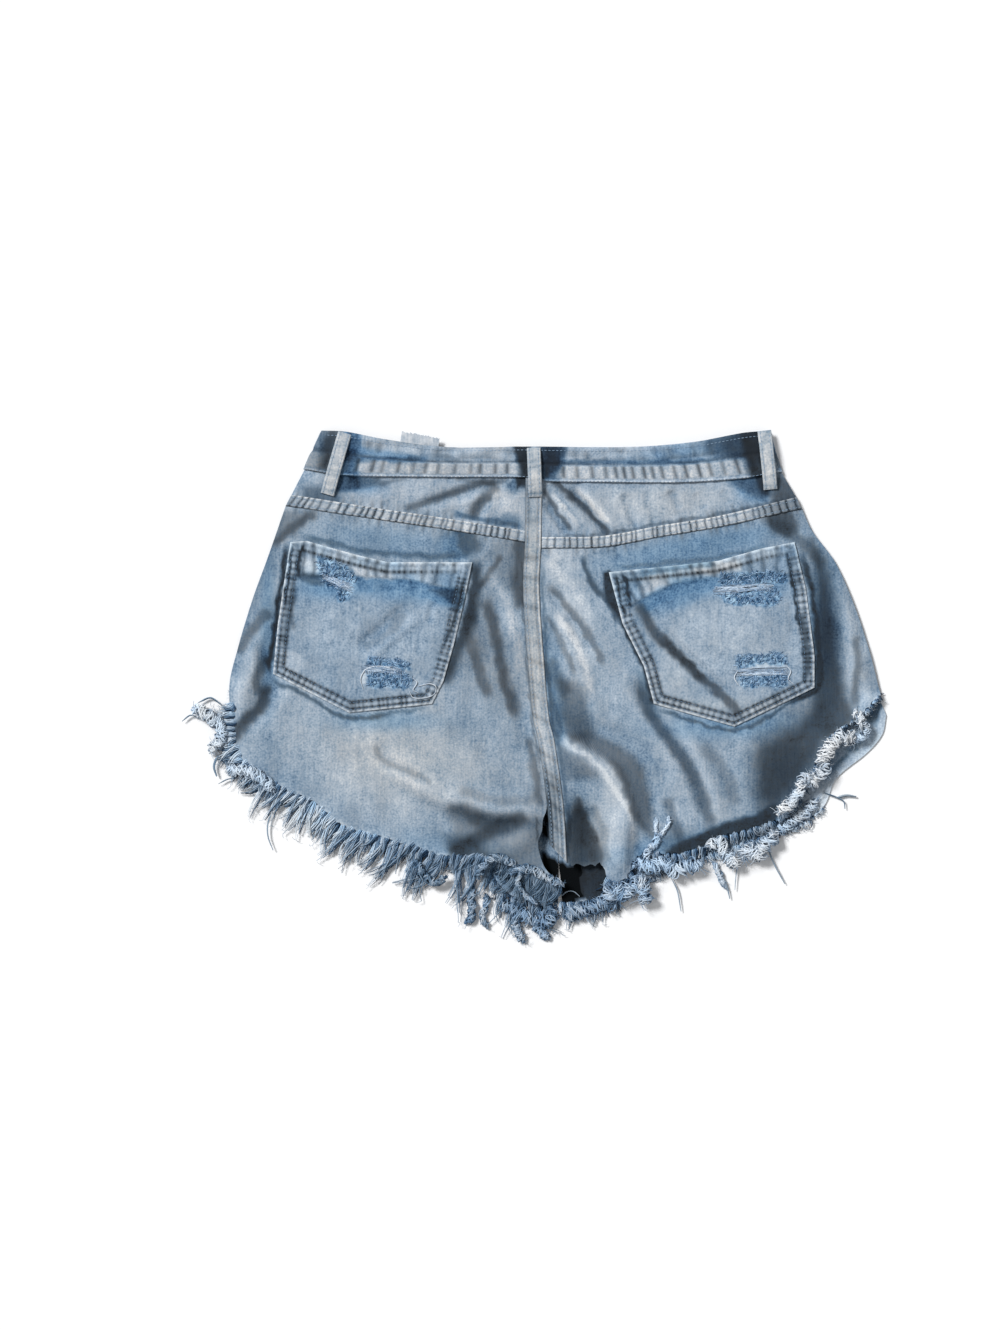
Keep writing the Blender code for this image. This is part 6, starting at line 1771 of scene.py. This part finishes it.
def lock(chance, root, heading, length, floor, paleness):
    """One lock: soft yarns side by side that curl together, the lamp's side palest, with fuzz at its tip."""
    made = []
    share = np.linspace(0, 1, LOCK_POINTS)
    middle = (LOCK_YARNS - 1) // 2
    bend = chance.uniform(-70, 70) * (1.9 - 0.9 * min(paleness, 1.0))
    spine_x, spine_y = curl(root, heading - 0.35 * bend, bend, length, LOCK_POINTS)
    turn = np.radians(heading + bend * (share - 0.35))
    drop = smooth(share * length / max(9.0, root[2] * 1.5))
    spread = chance.uniform(0.42, 0.62) * (0.45 + 0.9 * np.sin(math.pi * (0.1 + 0.8 * share)))
    blue = chance.uniform(0.5, 1.1) * smooth(paleness)
    for strand in range(LOCK_YARNS):
        wave = chance.uniform(0.2, 0.7) * np.sin(share * chance.uniform(4, 9) + chance.uniform(0, 6))
        offset = (strand - middle) * spread + wave
        x = spine_x - np.sin(turn) * offset
        y = spine_y + np.cos(turn) * offset
        rest = floor + (1.5 - 0.25 * abs(strand - middle)) * chance.uniform(0.4, 1.4)
        z = root[2] - 0.6 + (rest - root[2] + 0.6) * drop + 1.4 * np.sin(math.pi * share ** 0.7)
        z = np.maximum(z, FRINGE_LEAST_Z)
        kept = int(chance.integers(5, 9))
        lit = 1.1 - 1.05 * (strand / (LOCK_YARNS - 1)) ** 1.4
        tone = lit * chance.uniform(0.8, 1.1) * paleness + 0.25 * (1 - smooth(paleness))
        points, radius, wash = thread(np.stack([x, y, z], axis=1), chance.uniform(0.36, 0.54), tone, blue)
        wash[:, 0] *= 1 - 0.25 * share ** 2
        wash[:, 1] *= 1 - 0.8 * share
        wash[:, 2] = 0.6 * share
        made.append((points[:kept], radius[:kept], wash[:kept]))
    for _ in range(LOCK_HAIRS):
        place = int(chance.integers(3, LOCK_POINTS))
        x, y = curl((spine_x[place], spine_y[place]), heading + chance.uniform(-75, 75), chance.uniform(-120, 120),
                    chance.uniform(2.0, 5.0))
        z = np.full(5, floor + chance.uniform(0.4, 2.2))
        tone = chance.uniform(0.42, 0.8) * min(paleness + 0.3, 1.0)
        made.append(thread(np.stack([x, y, z], axis=1), chance.uniform(0.16, 0.26), tone, 0.1, 0.6))
    return made


def frayed(edge, table, height, floor, pitch, inward, seed):
    """Layers of locks over a fill of short dark yarns, whose darkness stands in for the shade under the locks.
    Outward is to the right of the edge's run.
    """
    chance = np.random.default_rng(seed)
    edge = np.array(edge, float)
    lengths = lengths_of(edge)
    made = []
    layers = (("fill", 1.1), ("lower", pitch), ("upper", pitch * 1.05))
    for layer, gap in layers if inward else layers[:2]:
        place = 0.0
        while place < lengths[-1]:
            x = float(np.interp(place, lengths, edge[:, 0]))
            y = float(np.interp(place, lengths, edge[:, 1]))
            index = min(int(np.searchsorted(lengths, place, side="right")), len(edge) - 1)
            run = (edge[index] - edge[index - 1]) / (lengths[index] - lengths[index - 1])
            length, heading, tone = table_at(table, place / lengths[-1])
            inset = chance.uniform(0.3, 1.0) * inward if layer == "upper" else chance.uniform(0.4, 1.8)
            root = np.array((x, y)) + np.array((-run[1], run[0])) * inset
            z = float(height(root[:1], root[1:])[0])
            pale = 0.35 * float(rumple(root[:1], root[1:], 24, 24, seed)[0])
            place += chance.uniform(0.6, 1.4) * gap
            if length <= LEAST_LOCK:
                continue
            if layer == "fill":
                reach = min(length, 24) * chance.uniform(0.35, 0.8)
                px, py = curl(root, heading + chance.uniform(-25, 25), chance.uniform(-60, 60), reach)
                pz = np.linspace(max(z - 0.6, 0.8), floor, 5)
                points = np.stack([px, py, pz], axis=1)
                # The fill's yarns are dark: painted shade between and under the locks
                made.append(thread(points, 0.6, tone * chance.uniform(-0.05, 0.2), 0.4 * tone))
            elif layer == "lower":
                lean = chance.uniform(-18, 18) * (2.6 - 1.6 * min(tone, 1.0))
                made += lock(chance, (*root, z), heading + lean, length * chance.uniform(0.6, 1.12), floor,
                             tone * (chance.uniform(0.8, 1.15) + pale))
            else:
                made += lock(chance, (*root, z + 0.4), heading + chance.uniform(-26, 26),
                             inset + min(length, 26) * chance.uniform(0.4, 0.75), floor + 1.0,
                             tone * (chance.uniform(0.9, 1.15) + pale))
    return made


def rolled(path, height, radius, tone, blue, seed):
    """A roll of frayed cloth: loops of yarn wound loosely round a path, painted paler over its top and darker
    beneath, with fuzz that stands out of them.
    """
    chance = np.random.default_rng(seed)
    line = curve(path, np.linspace(0, 1, ROLL_POINTS))
    lengths = lengths_of(line)
    count = int(lengths[-1] * 1.7)
    run = np.linspace(0, lengths[-1], count)
    middle = np.stack([np.interp(run, lengths, line[:, axis]) for axis in (0, 1)], axis=1)
    along = np.gradient(middle, axis=0)
    along /= np.hypot(along[:, 0], along[:, 1])[:, None]
    wide = radius * smooth(np.minimum(run, lengths[-1] - run) / 6 + 0.3)
    made = []
    for strand in range(ROLL_YARNS):
        coil = run * chance.uniform(0.5, 1.3) + 2.4 * rumple(run, 0 * run, 7, 5, seed + strand) + strand
        side = wide * (0.75 * np.cos(coil) + 0.6 * rumple(run, 0 * run + strand, 3.1, 5, seed + 20))
        slip = 1.6 * np.sin(coil * 1.7)
        x = middle[:, 0] - along[:, 1] * side + along[:, 0] * slip
        y = middle[:, 1] + along[:, 0] * side + along[:, 1] * slip
        z = height(middle[:, 0], middle[:, 1]) + 0.5 + 0.5 * wide * (1 + np.sin(coil))
        wash = np.zeros((count, 3)) + np.array((tone - 0.07 * (strand % 3), blue, 0.1))
        # Each yarn is painted paler where it winds over the top of the roll and darker where it winds under it:
        # painted light and shade
        wash[:, 0] += 0.3 * np.sin(coil) + 0.24 * rumple(run, coil, 3, 9, seed + 7)
        wash[:, 1] += 0.3 * rumple(run, 0 * run, 7, 5, seed + 9)
        made.append((np.stack([x, y, z], axis=1), chance.uniform(0.4, 0.75, count), wash))
    for _ in range(int(lengths[-1] * 1.6)):
        at = int(chance.integers(0, ROLL_POINTS))
        x, y = curl(line[at], chance.uniform(0, 360), chance.uniform(-80, 80), chance.uniform(0.8, 1.8) * radius)
        z = height(x, y) + 0.6 + chance.uniform(0.3, 1.0) * radius
        made.append(thread(np.stack([x, y, z], axis=1), 0.26, tone * chance.uniform(0.6, 1.15), blue))
    return made


# The rolled frays of each hem: radius, tone, indigo, then the path
ROLLS = {
    "fringe_back_left": (
        (5.0, 0.9, 0.3, ((-272, -17), (-261, -21), (-253, -28), (-247, -36), (-253, -44), (-257, -52))),
        (4.4, 0.88, 0.35, ((-244, -64), (-236, -66), (-226, -67), (-216, -73), (-208, -82))),
        (3.0, 0.26, 0.1, ((-94, -138), (-88, -150), (-79, -155), (-70, -151))),
        (3.4, 0.36, 0.1, ((-44, -152), (-42, -143), (-33, -137), (-22, -137), (-14, -142))),
        (3.2, 0.4, 0.1, ((-18, -148), (-9, -144), (2, -147), (12, -152), (23, -157))),
        (2.0, 0.36, 0.1, ((-10, -146), (-13, -156), (-6, -166), (2, -172))),
    ),
    "fringe_back_right": (
        (4.4, 0.82, 0.2, ((194, -100), (204, -92), (211, -84), (214, -74), (223, -69))),
        (5.6, 0.86, 0.1, ((218, -78), (229, -68), (232, -54), (238, -43), (248, -39), (256, -43))),
        (4.0, 0.84, 0.3, ((256, -18), (260, -26), (265, -35), (256, -41))),
        (5.2, 0.82, 0.25, ((139, -126), (147, -124), (153, -131), (158, -140), (164, -136))),
        (5.6, 0.8, 0.25, ((166, -136), (172, -128), (178, -134), (186, -124), (194, -116))),
        (5.6, 0.72, 0.6, ((80, -141), (92, -143), (104, -140), (114, -146), (124, -142), (134, -143))),
        (6.6, 0.66, 0.5, ((56, -170), (64, -160), (72, -166), (80, -156), (88, -160), (86, -172))),
        (1.7, 0.82, 0.4, ((98, -105), (97, -112), (100, -119))),
        (1.7, 0.86, 0.4, ((108, -104), (107, -110), (101, -119))),
        (2.8, 0.78, 0.5, ((101, -117), (97, -124), (92, -130), (90, -138))),
    ),
    "fringe_front_left": (
        (5.6, 0.4, 0.4, ((-26, -172), (-16, -178), (-4, -184), (8, -186), (18, -180))),
        (3.4, 0.34, 0.3, ((-48, -160), (-50, -170), (-49, -180), (-54, -188))),
        (2.6, 0.4, 0.2, ((-38, -166), (-38, -176), (-41, -184), (-37, -192))),
        (3.6, 0.44, 0.2, ((-10, -178), (-15, -186), (-12, -195), (-8, -203))),
        (3.8, 0.46, 0.4, ((6, -184), (2, -190), (8, -196), (13, -200))),
    ),
    "fringe_front_right": (
        (4.5, 0.82, 0.4, ((194, -113), (203, -109), (212, -104), (220, -97), (226, -90))),
        (6.0, 0.42, 0.4, ((24, -182), (36, -180), (46, -176), (56, -172), (68, -172))),
        (2.4, 0.74, 0.4, ((144, -140), (149, -150), (154, -160))),
    ),
}
# The stray yarns of each hem: radius, tone, warmth, then the path
STRAYS = {
    "fringe_back_left": (
        (0.8, 0.5, 0.6, ((-281, -27), (-274, -22), (-266, -25))),
        (1.0, 0.45, 0.6, ((-268, -12), (-258, -8), (-249, -14))),
        (1.3, 0.4, 0.6, ((-252, -54), (-255, -63), (-253, -71))),
        (1.2, 0.42, 0.6, ((-248, -56), (-244, -64), (-243, -71))),
        (0.7, 0.5, 0.7, ((-252, -77), (-244, -73), (-232, -72))),
        (0.8, 0.5, 0.7, ((-208, -98), (-212, -108), (-212, -119), (-208, -130))),
        (0.6, 0.45, 0.7, ((-30, -162), (-25, -172), (-28, -180), (-37, -190))),
    ),
    "fringe_front_right": (
        (0.6, 0.62, 0.6, ((22, -167), (27, -163), (32, -163), (37, -167))),
        (0.7, 0.5, 0.7, ((110, -152), (115, -162), (118, -179))),
        (0.8, 0.5, 0.7, ((152, -152), (155, -160), (157, -169))),
        (0.6, 0.6, 0.6, ((164, -138), (162, -150), (161, -162))),
        (0.8, 0.5, 0.7, ((186, -124), (192, -140), (201, -157))),
        (0.8, 0.35, 0.7, ((232, -84), (241, -87), (248, -91), (249, -97))),
        (1.3, 0.55, 0.7, ((242, -88), (250, -86), (258, -87))),
    ),
}


def on_back(x, y):
    """The height of the yarns' roots in the back's hems."""
    return back_form(x, y) + 0.8


def on_front(x, y):
    """The height of the yarns' roots in the front's hems."""
    return under_lift(x, y) + 0.7


left_run = [(float(x_at(LEFT_SIDE, y)), y) for y in (-14.0, -30.0)] + smooth_line(BACK_HEM_LEFT, 160)
right_run = [p for p in smooth_line(BACK_HEM_RIGHT, 160) if p[0] > 59]
# The hems: node, edge, table, root height, floor under the yarns, spacing and inset of the locks, seed
fringe_rows = (
    ("fringe_back_left", left_run, FRINGE_BACK_LEFT, on_back, 1.9, 4.0, 5.0, 101),
    ("fringe_back_right", right_run, FRINGE_BACK_RIGHT, on_back, 1.9, 4.6, 0.0, 102),
    ("fringe_front_left", smooth_line(FRONT_HEM_LEFT, 120), FRINGE_FRONT_LEFT, on_front, 1.0, 4.6, 0.0, 103),
    ("fringe_front_right", smooth_line(FRONT_HEM_RIGHT, 120), FRINGE_FRONT_RIGHT, on_front, 1.0, 4.2, 0.0, 104),
)
fringes = {}
for name, run, table, height, floor, pitch, inward, seed in fringe_rows:
    lines = frayed(run, table, height, floor, pitch, inward, seed)
    for radius, tone, blue, path in ROLLS[name]:
        lines += rolled(path, height, radius, tone, blue, len(lines))
    for radius, tone, warmth, path in STRAYS.get(name, ()):
        places = curve(path, np.linspace(0, 1, STRAY_POINTS))
        points = np.column_stack([places, np.full(STRAY_POINTS, floor + STRAY_RISE)])
        lines.append(thread(points, radius, tone, 0.1, warmth))
    fringes[name] = spun_piece(name + "_yarns", lines)
    stands_for(fringes[name], name)
